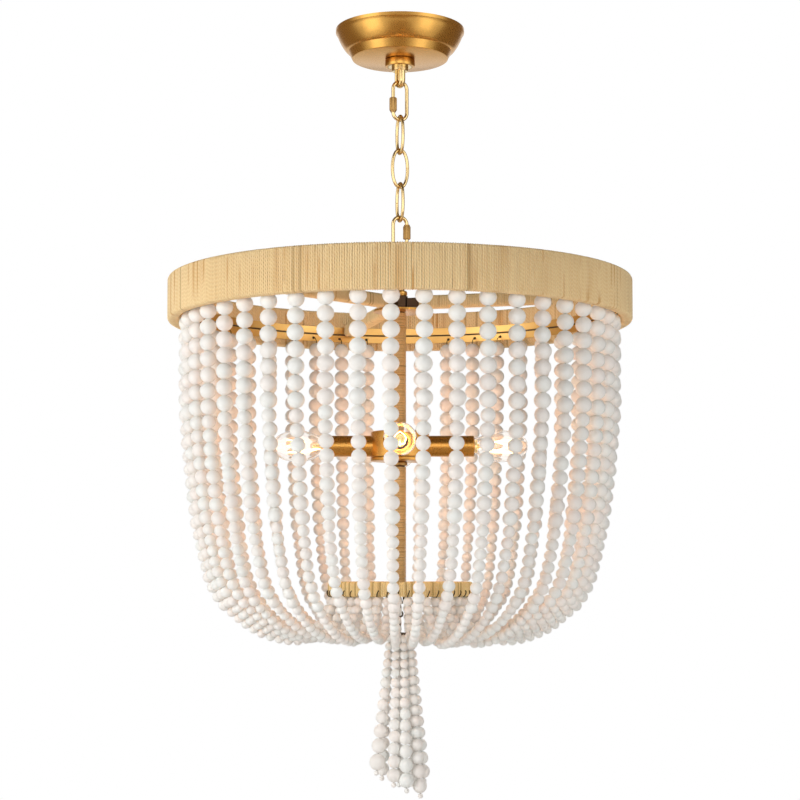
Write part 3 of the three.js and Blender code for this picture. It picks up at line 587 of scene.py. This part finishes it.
def makeBeadTree():
    # Beads threaded at every point of a path that has a bead size, and the thread through them
    tree, given, wanted = geometryTree("threadedBeads", [
        ("Bead", "Object"), ("Squash", "Float", 0.95), ("Size Change", "Float", 0.03), ("Lean", "Float", 0.1),
        ("Thread Radius", "Float", 0.0005), ("Thread Finish", "Material"), ("Seed", "Int", 1)])
    curve = outputOf(tree, "GeometryNodeMeshToCurve", {"Mesh": given["Geometry"]})
    stored = addNode(tree, "GeometryNodeInputNamedAttribute", {"Name": "beadSize"}, data_type="FLOAT")
    size = stored.outputs["Attribute"]
    smallest = mathNode(tree, "SUBTRACT", 1.0, given["Size Change"])
    across = times(tree, size, randomValue(tree, given, 0, smallest, 1.0))
    scale = combine(tree, across, across, times(tree, size, given["Squash"]))
    tangent = outputOf(tree, "GeometryNodeInputTangent")
    shake = randomValue(tree, given, 1, (-1, -1, -1), (1, 1, 1), "FLOAT_VECTOR")
    aim = vectorMath(tree, "ADD", tangent, vectorMath(tree, "SCALE", shake, given["Lean"]))
    rotation = outputOf(tree, "FunctionNodeAlignRotationToVector", {"Vector": aim}, axis="Z")
    bead = addNode(tree, "GeometryNodeObjectInfo", {"Object": given["Bead"]}).outputs["Geometry"]
    placed = placeOn(tree, curve, bead, rotation, scale, mathNode(tree, "GREATER_THAN", size, 0.0))
    thread = sweep(tree, curve, circleOf(tree, given["Thread Radius"], 6))
    joined = tree.nodes.new("GeometryNodeJoinGeometry")
    tree.links.new(dress(tree, thread, given["Thread Finish"]), joined.inputs[0])
    tree.links.new(tonedCopies(tree, given, placed), joined.inputs[0])
    tree.links.new(joined.outputs[0], wanted["Geometry"])
    return tree


roundWinding = makeWindingTree("roundWinding", False)
straightWinding = makeWindingTree("straightWinding", True)
copiesRound = makeCopiesTree()
threadedBeads = makeBeadTree()
print("node trees made")


# Canopy, its collar and the loop under it
canopySizes = {
    "outside": [(71, 0), (71, -3.6), (70.6, -4), (69.4, -5.8)],
    "bowl": [(69.4, -5.8), (67.3, -11), (64.1, -17), (60.7, -21.8), (59.5, -23)],
    "foot": [(58.6, -23.6), (57.5, -24), (56.9, -24.4), (53.6, -31), (52.9, -32.4), (51.5, -33), (13.6, -33)],
    "sheet": 1.2,
    "collar": (13.5, 16.5, 0.8),  # bore, radius, edge
    "barrel": 13,  # radius
    "nose": (9.25, 5, 0.8),  # radius, length, edge
    "eye": (6.6, 2.25, 3.5),  # radius, half bar, half width
    "chainYaw": 22,
}


def makeCanopyParts():
    s = canopySizes
    bowl = [tuple(p.xy) for p in smoothPath([(r, z, 0) for r, z in s["bowl"]], 5)]
    outside = s["outside"] + bowl[1:] + s["foot"]
    bore, foot = s["foot"][-1]
    inside = [(max(r - s["sheet"], bore), max(z, foot + s["sheet"])) for r, z in reversed(outside)]
    canopy = meshPiece("brassCanopy", [turned(outside + inside)], "satin_brass", 24)
    attach(canopy, "canopy", "satin_brass", "canopy")
    makeRing("canopyCollar", "canopy_collar", "canopy", "satin_brass", s["collar"])

    tip, top = span("canopy_loop")
    shoulder, _ = span("canopy_collar")
    radius, length, edge = s["nose"]
    nose = shoulder - length
    barrel = [(0, top), (s["barrel"], top), (s["barrel"], shoulder), (radius, shoulder),
              (radius, nose + edge), (radius - edge, nose), (0, nose)]
    loop = meshPiece("canopyLoop", [turned(barrel), bentBar(tip, nose + 2, s["eye"])], "pale_brass",
                     yaw=s["chainYaw"] + 90)
    attach(loop, "ceiling_fitting", "satin_brass", "canopy_loop")


makeCanopyParts()


# Chain
chainSizes = {
    "plainLink": (45.2, 21.4, 3.6),  # length, width, wire
    "quickLink": (46.5, 20.3, 4.0),
    "ovalPower": 2.2,
    "jointDepth": 0.35,
    "gap": 5.5,
    "nut": (2.3, 3.2, 4.15),  # bore, radius of the collar, radius
    "flutes": 14,
    "fluteDepth": 0.55,
}


def ovalStations(length, width, wire):
    radius, straight, half = (width - wire) / 2, (length - width) / 2, wire / 2
    return arcStations(radius, straight, 0, half, half) + arcStations(radius, -straight, 180, half, half)


def linkStations(length, width, wire):
    # A true oval whose ends meet in a butt joint at the middle of one side
    half, power = wire / 2, 2 / chainSizes["ovalPower"]
    middles = []
    for degrees in (0, 0.5, *range(6, 360, 6), 359.5):
        x, z = onCircle(1, degrees)
        middles.append((math.copysign(abs(x) ** power, x) * (width - wire) / 2,
                        math.copysign(abs(z) ** power, z) * (length - wire) / 2))
    stations = []
    for i, (x, z) in enumerate(middles):
        before, after = middles[i - 1], middles[(i + 1) % len(middles)]
        alongX, alongZ = after[0] - before[0], after[1] - before[1]
        step = math.hypot(alongX, alongZ)
        thick = half if i else half - chainSizes["jointDepth"]
        stations.append((x, z, alongZ / step, -alongX / step, thick, thick))
    return stations


def fluted(profile, flutes, depth):
    # A turned shape whose widest part has flutes along it
    points, faces = turned(profile, flutes * 8)
    widest = max(radius for radius, _ in profile)
    carved = []
    for x, y, z in points:
        wave = 0.5 - 0.5 * math.cos(flutes * math.atan2(y, x))
        share = 1 - depth * wave / widest if math.hypot(x, y) > widest - 0.1 else 1
        carved.append((x * share, y * share, z))
    return carved, faces


def makeLinkNut(which, collarEnd):
    s = chainSizes
    node = f"{which}_link_nut"
    low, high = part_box(node)
    half = (high[2] - low[2]) / mm / 2
    bore, collar, outer = s["nut"]
    ends = [(bore, -half), (collar, -half), (collar, 1.4 - half), (outer - 0.5, 1.4 - half),
            (outer, 2 - half), (outer, half - 0.7), (outer - 0.6, half), (bore, half)]
    profile = [(radius, height * collarEnd) for radius, height in ends]
    nut = meshPiece(f"{which}LinkNut", [fluted(profile, s["flutes"], s["fluteDepth"])], "dark_brass")
    nut.data.transform(Matrix.Translation((Vector(low) + Vector(high)) / 2))
    attach(nut, f"{which}_gate", "pale_brass", node)


def makeChainParts():
    yaw = canopySizes["chainYaw"]
    plain = swept(linkStations(*chainSizes["plainLink"]), True)
    for i, turn in enumerate((yaw + 90, yaw, yaw + 90)):
        node = f"chain_link_{i + 1}"
        link = meshPiece(f"chainLink{i + 1}", [plain], "pale_brass", height=middleOf(node), yaw=turn)
        attach(link, f"link_{i + 1}", "pale_brass", node)
    makeLinkNut("upper", 1)
    makeLinkNut("lower", -1)
    length, width, wire = chainSizes["quickLink"]
    radius, half = (width - wire) / 2, wire / 2
    gapLow = half - (length - width) / 2
    start, end = [(radius, z, 1, 0, half, half) for z in (gapLow + chainSizes["gap"], gapLow)]
    opened = swept([start, *ovalStations(length, width, wire), end])
    for which, tilt in (("upper", 0), ("lower", 180)):
        node = f"{which}_quick_link"
        link = meshPiece(f"{which}QuickLink", [opened], "pale_brass", height=middleOf(node), yaw=yaw + 180,
                         tilt=tilt)
        attach(link, f"{which}_link", "pale_brass", node)


makeChainParts()
print("canopy and chain made")


# Loop, nut, hub and disc at the top of the frame
hubSizes = {
    "eye": (8.5, 2.5, 2.5),  # radius, half bar, half width
    "boss": 11.5,  # radius
    "bossHeight": 8,
    "bossTop": 29,  # below the top of the eye
    "shank": 4.8,  # radius
    "nut": (5.3, 8, 1.8),  # bore, radius, edge
    "disc": (5.3, 29, 0.8),
}


def makeHubParts():
    s = hubSizes
    bottom, tip = span("frame_loop")
    boss, shank, top = s["boss"], s["shank"], tip - s["bossTop"]
    low = top - s["bossHeight"]
    profile = [(0, top), (boss - 1, top), (boss, top - 1), (boss, low + 1), (boss - 1, low), (shank, low),
               (shank, bottom), (0, bottom)]
    loop = meshPiece("frameLoop", [turned(profile), bentBar(tip, top - 3, s["eye"])], "dark_brass",
                     yaw=canopySizes["chainYaw"] + 90)
    attach(loop, "frame", "dark_brass", "frame_loop")
    makeRing("hubNut", "hub_nut", "frame", "satin_brass", s["nut"])
    makeRing("hubDisc", "hub_disc", "frame", "satin_brass", s["disc"])


makeHubParts()


# Drum: twine over the band, and the two brass hoops inside it
drumSizes = {
    "outer": 253.9,
    "inner": 242.2,
    "cord": 2.62,
    "turns": 636,
    "rounding": 3,
    "slit": (-14.45, 3.95),  # from the middle of the height
    "hoop": (241.6, 244.8),  # inner and outer radius
    "hole": 1.7,  # radius
}
strandPlaces = {"count": 45, "phase": -92.2}


def cornerArc(x, z, radius, start, steps=2):
    # A quarter of a circle in the plane of X and Z
    arc = [onCircle(radius, start - 90 * i / steps) for i in range(steps + 1)]
    return [(x + across, 0, z + up) for across, up in arc]


def windRing(name, node, finish, s, values):
    # Turns over the section of a ring, from the upper edge of its slit round to the lower one
    low, high = span(node)
    half = s["cord"] / 2
    bend = s["rounding"] - half
    left, right, top = s["inner"] + half + bend, s["outer"] - half - bend, (high - low) / 2 - half - bend
    path = [(left - bend, 0, s["slit"][1]), *cornerArc(left, top, bend, 180),
            *cornerArc(right, top, bend, 90), (right + bend, 0, 0), *cornerArc(right, -top, bend, 0),
            *cornerArc(left, -top, bend, -90), (left - bend, 0, s["slit"][0])]
    winding = wind(name, roundWinding, path, s["cord"], finish, {
        "Turns": s["turns"], "Middle": (0, 0, middleOf(node) * mm), **values})
    attach(winding, "frame", finish, node)


def copyRound(name, piece, finish, weld=0.0):
    # Copies of a piece, one for each strand
    mesh = piece.data
    bpy.data.objects.remove(piece)
    return runTree(name, copiesRound, mesh, {
        "Count": strandPlaces["count"], "Phase": math.radians(strandPlaces["phase"]), "Weld": weld,
        "Finish": finishes[finish]})


def hoopCell(inner, outer, low, high, holeRadius):
    # One stretch of hoop round its hole: outline and hole joined by a band of faces, on both sides
    across, tall, middle = outer * math.pi / strandPlaces["count"], (high - low) / 2, (low + high) / 2
    sides = 16
    outline, hole = [], []
    for i in range(sides):
        x, z = onCircle(1, 360 * i / sides)
        reach = 1 / max(abs(x), abs(z))
        outline.append((x * reach * across, z * reach * tall))
        hole.append((x * holeRadius, z * holeRadius))
    between = [(a[0] * 0.4 + b[0] * 0.6, a[1] * 0.4 + b[1] * 0.6) for a, b in zip(outline, hole)]
    points = [(radius * math.cos(x / outer), radius * math.sin(x / outer), middle + z)
              for radius in (inner, outer) for ring in (outline, between, hole) for x, z in ring]
    faces = []
    for i in range(sides):
        j = (i + 1) % sides
        strips = [(0, 1), (1, 2), (3, 4), (4, 5), (2, 5)]
        if abs(outline[i][1]) == abs(outline[j][1]) == tall:
            strips.append((0, 3))
        faces += [(a * sides + i, a * sides + j, b * sides + j, b * sides + i) for a, b in strips]
    return points, faces


def makeDrumParts():
    s = drumSizes
    windRing("drumTwine", "drum_wrap", "twine", s, {"Wobble": 0.00008, "Lean": 0.003, "Seed": 3})
    inner, outer = s["hoop"]
    low, high = span("arm_hoop")
    # Both hoops take the brighter brass, with the bulbs' reflected light painted into its colour
    arm = turned([(inner, low), (outer, low), (outer, high), (inner, high)], 180)
    attach(meshPiece("armHoop", [arm], "hoop_brass_bulb_lit"), "frame", "dark_brass", "arm_hoop")
    cell = meshPiece("hoopCell", [hoopCell(inner, outer, *span("bead_hoop"), s["hole"])], "hoop_brass_bulb_lit")
    attach(copyRound("beadHoop", cell, "hoop_brass_bulb_lit", 0.00002), "frame", "dark_brass", "bead_hoop")


makeDrumParts()
print("drum made")


# Windings of the arms, the stem and the lower ring
armSizes = {
    "cord": 2.0,
    "half": 7.3,
    "from": 23,
    "to": 240.3,
    "pitch": 1.96,
    "bend": 2.6,
    "yaws": (-15, 105, 225),
}
stemSizes = {"cord": 1.44, "outer": 6.8, "pitch": 1.42}
ringSizes = {"outer": 79, "inner": 67, "cord": 2.08, "turns": 232, "rounding": 2.2, "slit": (-2.3, 2.3)}


def makeArmWindings():
    s = armSizes
    edge = s["half"] - s["cord"] / 2 - s["bend"]
    path = []
    for y, z, start in ((edge, edge, 90), (edge, -edge, 0), (-edge, -edge, -90), (-edge, edge, 180)):
        path += [(0, across, up) for across, _, up in cornerArc(y, z, s["bend"], start, 3)]
    turns = int((s["to"] - s["from"] - s["cord"]) / s["pitch"])
    for i, yaw in enumerate(s["yaws"]):
        node = f"arm_wrap_{i + 1}"
        middle = ((s["from"] + s["cord"] / 2) * mm, 0, middleOf(node) * mm)
        arm = wind(f"armTwine{i + 1}", straightWinding, path, s["cord"], "arm_twine", {
            "Turns": turns, "Middle": middle, "Step": (s["pitch"] * mm, 0, 0), "Wobble": 0.00006,
            "Seed": 10 + i}, True)
        arm.data.transform(placement(yaw=yaw))
        attach(arm, "frame", "twine", node)


def makeStemWindings():
    s = stemSizes
    path = [(*onCircle(s["outer"] - s["cord"] / 2, i * 20), 0) for i in range(18)]
    for i, node in enumerate(("upper_stem_wrap", "lower_stem_wrap")):
        low, high = span(node)
        winding = wind(f"stemTwine{i + 1}", straightWinding, path, s["cord"], "stem_twine", {
            "Turns": int((high - low - s["cord"]) / s["pitch"]) + 1, "Lean": 0.02,
            "Middle": (0, 0, (low + s["cord"] / 2) * mm), "Step": (0, 0, s["pitch"] * mm), "Wobble": 0.00004,
            "Seed": 20 + i}, True)
        attach(winding, "frame", "stem_twine", node)


makeArmWindings()
makeStemWindings()
windRing("ringTwine", "lower_ring_wrap", "ring_twine", ringSizes, {
    "Wobble": 0.00005, "Lean": 0.01, "Seed": 31})
print("windings made")


# Light cluster, sleeves and bulbs
lightSizes = {
    "cluster": (5.3, 32, 2),  # bore, radius, sheet
    "cover": (5.3, 32, 0.9),  # bore, radius, edge
    "nut": (5.3, 8, 1),
    "sleeve": (10, 11.5, 28, 81),  # bore, radius, start, end
    "glass": (17.5, 0.7, 81.3, 59),  # radius, wall, start, length
    "outline": [(0.49, 0), (0.62, 0.12), (0.9, 0.32), (1, 0.52), (0.93, 0.7), (0.72, 0.86),
                (0.38, 0.97), (0, 1)],
    "base": (6, 59.3),  # radius, start
    "filament": (7, 86, 104, 124),  # radius, foot, lower bends, upper bends
    "filamentWire": 1.2,
    "lampReach": 114,
    "lampSize": 15,
    "lampPower": 0.18,  # watts
    "lampColour": (1, 0.46, 0.18),
}


def makeCluster():
    s = lightSizes
    bore, radius, sheet = s["cluster"]
    low, high = span("cluster_body")
    inner = radius - sheet
    profile = [(bore, high), (radius - 1.6, high), (radius - 0.5, high - 0.5), (radius, high - 1.6),
               (radius, low + 0.3), (radius - 0.3, low), (inner, low), (inner, high - sheet),
               (bore, high - sheet)]
    attach(meshPiece("clusterBody", [turned(profile)], "satin_brass"), "frame", "satin_brass", "cluster_body")
    makeRing("clusterCover", "cluster_cover", "frame", "satin_brass", s["cover"])
    makeRing("clusterNut", "cluster_nut", "frame", "dark_brass", s["nut"])


def bulbShapes():
    # Sleeve, glass and screw base upright on the axis, and the path of the filament
    s = lightSizes
    bore, outer, start, end = s["sleeve"]
    sleeve = [(bore, start), (outer, start), (outer, end - 0.5), (outer - 0.5, end), (bore + 0.2, end),
              (bore, end - 0.4)]
    radius, wall, start, length = s["glass"]
    outline = smoothPath([(radius * wide, start + length * far, 0) for wide, far in s["outline"]], 4)
    outside = [(p.x, p.y) for p in outline]
    inside = [(max(r - wall, 0), min(along, start + length - wall)) for r, along in outside]
    thick, foot = s["base"]
    ridges = [(thick - 0.5 * (i % 2), foot + 4 + i * 1.1) for i in range(14)]
    base = [(0, foot), (2.5, foot), (3, foot + 2), (5.4, foot + 3), *ridges, (thick, start),
            (7.3, start + 0.6), (7.3, start + 3), (3, start + 4), (1.6, start + 14), (0, start + 15)]
    radius, foot, low, high = s["filament"]
    bends = [(*onCircle(radius, 45 * i), low if i % 2 else high) for i in range(9)]
    zigzag = [(2, 0, foot), (radius, 0, low), *bends, (2, -1, foot)]
    return turned(sleeve), turned([*reversed(outside), *inside], 48), turned(base, 32), zigzag


def makeLights():
    s = lightSizes
    sleeve, shell, base, zigzag = bulbShapes()
    for i in range(1, 5):
        node, bulb = f"socket_sleeve_{i}", f"bulb_{i}"
        lay = {"height": middleOf(node), "yaw": 90 * (i - 1), "tilt": 90}
        tube = meshPiece(f"socketSleeve{i}", [sleeve], "satin_brass", **lay)
        attach(tube, "frame", "satin_brass", node)
        glass = meshPiece(f"bulbGlass{i}", [shell], "glass", 80, **lay)
        glass.visible_shadow = False
        attach(glass, bulb, "glass", bulb)
        attach(meshPiece(f"bulbBase{i}", [base], "pale_brass", **lay), bulb, "pale_brass")
        wire = wind(f"filament{i}", straightWinding, zigzag, s["filamentWire"], "glow")
        wire.data.transform(placement(**lay))
        attach(wire, bulb, "glass")
        lamp = bpy.data.lights.new(f"bulbLight{i}", "POINT")
        lamp.energy, lamp.color, lamp.shadow_soft_size = s["lampPower"], s["lampColour"], s["lampSize"] * mm
        light = linkObject(lamp.name, lamp)
        light.visible_transmission = False
        light.location = (*onCircle(s["lampReach"] * mm, lay["yaw"]), lay["height"] * mm)


makeCluster()
makeLights()
print("lights made")


# Bead strands
strandSizes = {
    "inGroup": 5,
    "topRadius": 233,
    "topRise": 5.5,
    "lowRadius": 112,
    "sag": 45,
    "sagChange": 3.5,
    "endRadius": 76,
    "inwardChange": 4,
    "beads": [(7, 17.9, 16.5), (8, 15.7, 14.2), (8, 12.9, 11.5), (15, 10.5, 9.8)],  # count, diameter, pitch
    "outerFall": [(1, 0), (1, 0.15), (0.996, 0.308), (0.979, 0.402), (0.93, 0.558), (0.876, 0.683),
                  (0.832, 0.749), (0.777, 0.817), (0.698, 0.868), (0.603, 0.905), (0.446, 0.95),
                  (0.306, 0.977), (0.149, 0.994), (0, 1)],
    "innerRise": [(0.611, 0.074), (0.306, 0.287), (0.083, 0.649), (0, 0.85), (0, 1)],
    "sway": 2.2,
    "jitter": 0.35,
    "thread": 0.9,
    "hookWire": 0.9,
    "stapleWire": 1.2,
}


def makeBeadShape():
    # A bead of unit size with a hole through it
    hole, end = 0.06, 0.485
    profile = [(hole, end), *[onCircle(0.5, 75 - 25 * i) for i in range(7)], (hole, -end)]
    shape = meshPiece("bead", [turned(profile, 16)], "beads", 180)
    shape.data.transform(Matrix.Scale(1 / mm, 4))
    return shape


def strandPath(sagChange=0, inwardChange=0, sway=0, phase=0):
    # Middle of each bead from the drum to the lower ring, with both ends of the thread. The lists of the
    # fall and the rise hold shares of the way outwards and down, then outwards and up.
    s = strandSizes
    top, ringBottom = span("drum_wrap")[0] + s["topRise"], span("lower_ring_wrap")[0]
    low, end = ringBottom - s["sag"] - sagChange, ringBottom - 0.3
    lowRadius = s["lowRadius"] + inwardChange
    points = [(lowRadius + (s["topRadius"] - lowRadius) * out, top + (low - top) * down)
              for out, down in s["outerFall"]]
    points += [(s["endRadius"] + (lowRadius - s["endRadius"]) * out + inwardChange * math.sin(math.pi * up),
                low + (end - low) * up) for out, up in s["innerRise"]]
    shares = [i / (len(points) - 1) for i in range(len(points))]
    path = smoothPath([(x, sway * math.sin(5 * share + phase) * math.sin(math.pi * share), z)
                       for share, (x, z) in zip(shares, points)], 12)
    pitches = [pitch for count, _, pitch in s["beads"] for _ in range(count)]
    fit = sum((b - a).length for a, b in zip(path, path[1:])) / sum(pitches)
    distances = [(sum(pitches[:i]) + pitch / 2) * fit for i, pitch in enumerate(pitches)]
    return [path[0], *placesAlong(path, distances), path[-1]]


def threadBeads(name, bead, paths, diameters, values):
    # Beads on threads, with one diameter for each point of the paths
    return runTree(name, threadedBeads, pathMesh(paths, sizes=[size * mm for size in diameters]), {
        "Bead": bead, "Thread Radius": strandSizes["thread"] / 2 * mm, "Finish": finishes["beads"],
        "Thread Finish": finishes["thread"], **values})


def makeStrands(bead):
    s = strandSizes
    diameters = [0, *[diameter for count, diameter, _ in s["beads"] for _ in range(count)], 0]
    chance = random.Random(5)
    for group in range(strandPlaces["count"] // s["inGroup"]):
        paths = []
        for k in range(s["inGroup"]):
            number = group * s["inGroup"] + k
            inward = chance.uniform(0.3, 1) * s["inwardChange"] * (1 if number % 2 else -1)
            path = strandPath(chance.uniform(-1, 1) * s["sagChange"], inward,
                              chance.uniform(-1, 1) * s["sway"], chance.uniform(0, 2 * math.pi))
            for middle in path[1:-1]:
                middle.x += chance.uniform(-1, 1) * s["jitter"]
                middle.y += chance.uniform(-1, 1) * s["jitter"]
            turn = placement(yaw=strandPlaces["phase"] + number * 360 / strandPlaces["count"])
            paths.append([turn @ middle for middle in path])
        strands = threadBeads(f"beadStrands{group + 1}", bead, paths, diameters * s["inGroup"],
                              {"Seed": 40 + group})
        attach(strands, "frame", "beads", f"bead_strands_{group + 1}")


def copyWire(name, points, perSpan, wire):
    # One bent wire repeated for every strand
    single = wind(f"{name}Single", straightWinding, smoothPath(points, perSpan), wire, "black_wire")
    attach(copyRound(name, single, "black_wire"), "frame", "black_wire")


def makeStrandWires():
    s = strandSizes
    top, *_, foot = strandPath()
    hoop, inner, outer = middleOf("bead_hoop"), drumSizes["hoop"][0], ringSizes["outer"]
    copyWire("strandHooks", [
        (top.x, 0, top.z), (top.x, 0, top.z + 2.5), (top.x + 3.4, 0, top.z + 6), (inner - 1.2, 0, hoop + 0.6),
        (inner + 1.2, 0, hoop)], 4, s["hookWire"])
    copyWire("ringStaples", [
        (foot.x, 0, foot.z - 1), (foot.x + 1.8, 0, foot.z + 0.4), (outer + 0.5, 0.6, foot.z + 3),
        (outer + 0.5, 1.6, foot.z + 5.5), (outer - 0.8, 2.2, foot.z + 7)], 3, s["stapleWire"])


beadShape = makeBeadShape()
makeStrands(beadShape)
makeStrandWires()
print("strands made")


# Eye, hook and tassel
tasselSizes = {
    "plug": 6,  # radius
    "eye": (4, 1.1, 1.1),  # radius, half bar, half width
    "hook": (15, 8, 1.8),  # length, width, wire
    "ring": (3, 0.9, 0.9),  # radius, half bar, half width
    "capTop": 23.8,  # below the top of the tassel's wire eye
    "cap": (13.5, 4),  # radius, height
    "topRadius": 12,
    "topBead": 8.5,
    "endBead": 5.6,
    "fullLength": 176,
    "strands": [  # yaw, largest bead, length, spread outwards
        (-155, 20, 152, 19), (-110, 15.5, 164, 9), (-72, 17.5, 170, 11), (-34, 17, 176, 15),
        (8, 16, 162, 16), (50, 15, 168, 11), (94, 16, 168, 7), (150, 15.5, 160, 12),
    ],
}


def makeTasselWires():
    s = tasselSizes
    bottom, top = span("stem_end_eye")
    radius, half, _ = s["eye"]
    flange = bottom + 2 * (radius + half)
    plug = [(0, top), (3.1, top), (3.1, flange + 2), (s["plug"], flange + 2), (s["plug"], flange),
            (0, flange)]
    eye = meshPiece("stemEndEye", [turned(plug, 32), bentBar(bottom, flange + 1, s["eye"], 12)], "black_wire")
    attach(eye, "frame", "black_wire", "stem_end_eye")
    hook = meshPiece("tasselHook", [swept(ovalStations(*s["hook"]), True, 12)], "black_wire",
                     height=middleOf("tassel_hook"), yaw=90)
    attach(hook, "hook", "black_wire", "tassel_hook")

    _, high = span("tassel")
    radius, *section = s["ring"]
    middle = high - radius - section[0]
    halves = [arcStations(radius, middle, start, *section) for start in (0, 180)]
    foot, top = middle - radius, high - s["capTop"]
    wide, tall = s["cap"]
    stem = [(0, foot), (0.9, foot), (0.9, top), (wide - 4, top - 0.6), (wide, top - 2.4), (wide, top - tall),
            (0, top - tall)]
    cap = meshPiece("tasselCap", [swept(halves[0] + halves[1], True, 12), turned(stem, 48)], "black_wire")
    attach(cap, "tassel", "black_wire")


def gradedBeads(smallest, largest, length):
    # Diameters that grow down a strand and fill its length exactly
    diameters = []
    while sum(diameters) < length - largest / 2:
        share = sum(diameters) / length
        diameters.append(smallest + (largest - smallest) * share ** 1.3)
    fit = length / sum(diameters)
    return [diameter * fit for diameter in diameters]


def makeTasselBeads(bead):
    s = tasselSizes
    start = span("tassel")[1] - s["capTop"] - s["cap"][1] / 2
    paths, sizes = [], []
    chance = random.Random(8)
    for yaw, largest, length, outward in s["strands"]:
        diameters = [*gradedBeads(s["topBead"], largest, length - s["endBead"]), s["endBead"]]
        path, walked = [], 0
        for diameter in diameters:
            along = walked + diameter / 2
            radius = s["topRadius"] + outward * along / s["fullLength"]
            aside = chance.uniform(-1, 1) * strandSizes["jitter"]
            path.append(placement(yaw=yaw) @ Vector((radius, aside, start - along)))
            walked += diameter
        paths.append(path)
        sizes += diameters
    tassel = threadBeads("tasselBeads", bead, paths, sizes, {"Squash": 1.01, "Lean": 0.12, "Seed": 60})
    attach(tassel, "tassel", "beads", "tassel")


makeTasselWires()
makeTasselBeads(beadShape)
bpy.data.objects.remove(beadShape)
print("tassel made")


# Nodes that keep their shape
keptNodes = {
    "steel": ["ceiling_strap", "strap_nut", "canopy_nipple"],
    "bronze": ["arm_hub", "stem_tube", "lower_spider", "frame_arm_1", "frame_arm_2", "frame_arm_3"],
    "core": ["drum_core", "lower_ring_core"],
    "lampholder": ["lamp_socket_1", "lamp_socket_2", "lamp_socket_3", "lamp_socket_4"],
}
for finish, names in keptNodes.items():
    for name in names:
        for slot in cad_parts[name].material_slots:
            slot.material = finishes[finish]


# Floor, world and studio lamps
studio = {
    "floorHeight": -1900,
    "floorReach": 5000,
    "floorGlow": 0.65,
    "worldStrength": 0.08,
    "lamps": [  # place, size, watts: left, right, front, top, and two behind
        ((-1870, -1080, -350), 1500, 29.5),
        ((1870, -1080, -400), 1500, 12.5),
        ((0, -2600, -700), 1600, 21.5),
        ((0, 300, 1500), 1200, 5),
        ((-1500, 1700, 0), 1400, 14),
        ((1500, 1700, 0), 1400, 14),
    ],
    "aim": (0, 0, -380),
    "cards": [  # two corners on the floor plan, lowest and highest edge, brightness
        ((-2500, -2500), (2500, 2500), 1400, 1400, 0.15),
        ((-700, -2300), (700, 900), -1300, -1300, 0.4),
        ((-1900, 0), (-900, 1600), -1900, 1400, 0.3),
        ((1900, -150), (900, 1600), -1900, 1400, 0.25),
        ((-800, -2400), (800, -2400), -1900, -750, 0.4),
        ((-800, -2400), (800, -2400), -750, 420, 2.2),
        ((-800, -2400), (800, -2400), 420, 1400, 0.3),
        ((-1950, -650), (-1350, -1700), -1600, 1200, 2.3),
        ((1850, -850), (1300, -1750), -1600, 1200, 2.0),
    ],
    "cardTint": (1, 0.72, 0.45),  # of the dark cards
    "shade": (1, 0.88, 0.74),  # tint of the light from all round
}


def seenRays(tree):
    # 1 for rays that see the surface, also in metal or through glass, and 0 for the light that it gives
    rays = tree.nodes.new("ShaderNodeLightPath").outputs
    direct = mathNode(tree, "MAXIMUM", rays["Is Camera Ray"], rays["Is Glossy Ray"])
    return mathNode(tree, "MAXIMUM", direct, rays["Is Transmission Ray"])


def makeWorld():
    s = studio
    world = bpy.data.worlds.new("studioWorld")
    bpy.context.scene.world = world
    world.use_nodes = True
    tree = world.node_tree
    background = tree.nodes["Background"].inputs
    seen = seenRays(tree)
    tree.links.new(mixColour(tree, seen, s["shade"], (1, 1, 1)), background["Color"])
    strength = mathNode(tree, "MULTIPLY_ADD", seen, 1 - s["worldStrength"], s["worldStrength"])
    tree.links.new(strength, background["Strength"])


def makeLamps():
    s = studio
    for i, (place, size, power) in enumerate(s["lamps"]):
        lamp = bpy.data.lights.new(f"studioLamp{i + 1}", "AREA")
        lamp.size, lamp.energy = size * mm, power
        light = linkObject(lamp.name, lamp)
        light.location = Vector(place) * mm
        light.rotation_euler = (Vector(s["aim"]) - Vector(place)).to_track_quat("-Z", "Y").to_euler()
        light.visible_glossy = False


def flatStage(name, near, far, low, high, material):
    # An upright sheet between two corners on the floor plan, or a level one where low is high
    (x1, y1), (x2, y2) = near, far
    second, last = ((x2, y1), (x1, y2)) if low == high else (far, near)
    corners = [(*near, low), (*second, low), (*far, high), (*last, high)]
    mesh = bpy.data.meshes.new(name)
    mesh.from_pydata([Vector(corner) * mm for corner in corners], [], [(0, 1, 2, 3)])
    mesh.materials.append(material)
    sheet = linkObject(name, mesh)
    return sheet


def makeFloor():
    s = studio
    material, tree, shader = startMaterial("paleFloor", {
        "Base Color": (0.9, 0.88, 0.85, 1), "Roughness": 0.9, "Emission Color": (1, 1, 1, 1)})
    glow = times(tree, seenRays(tree), s["floorGlow"])
    tree.links.new(glow, shader.inputs["Emission Strength"])
    reach, height = s["floorReach"], s["floorHeight"]
    flatStage("floor", (-reach, -reach), (reach, reach), height, height, material)


def makeCards():
    # Studio cards that only metal and gloss reflect: dark sides and ceiling, and light strips
    for i, (*place, brightness) in enumerate(studio["cards"]):
        tint = studio["cardTint"] if brightness < 1 else (1, 1, 1)
        material, _, _ = startMaterial(f"cardFinish{i + 1}", {
            "Base Color": (0, 0, 0, 1), "Specular IOR Level": 0.0, "Emission Color": (*tint, 1),
            "Emission Strength": brightness})
        card = flatStage(f"card{i + 1}", *place, material)
        card.visible_camera = card.visible_diffuse = card.visible_transmission = card.visible_shadow = False


makeWorld()
makeLamps()
makeFloor()
makeCards()
bpy.context.scene.view_settings.view_transform = "Standard"


print("scene made")
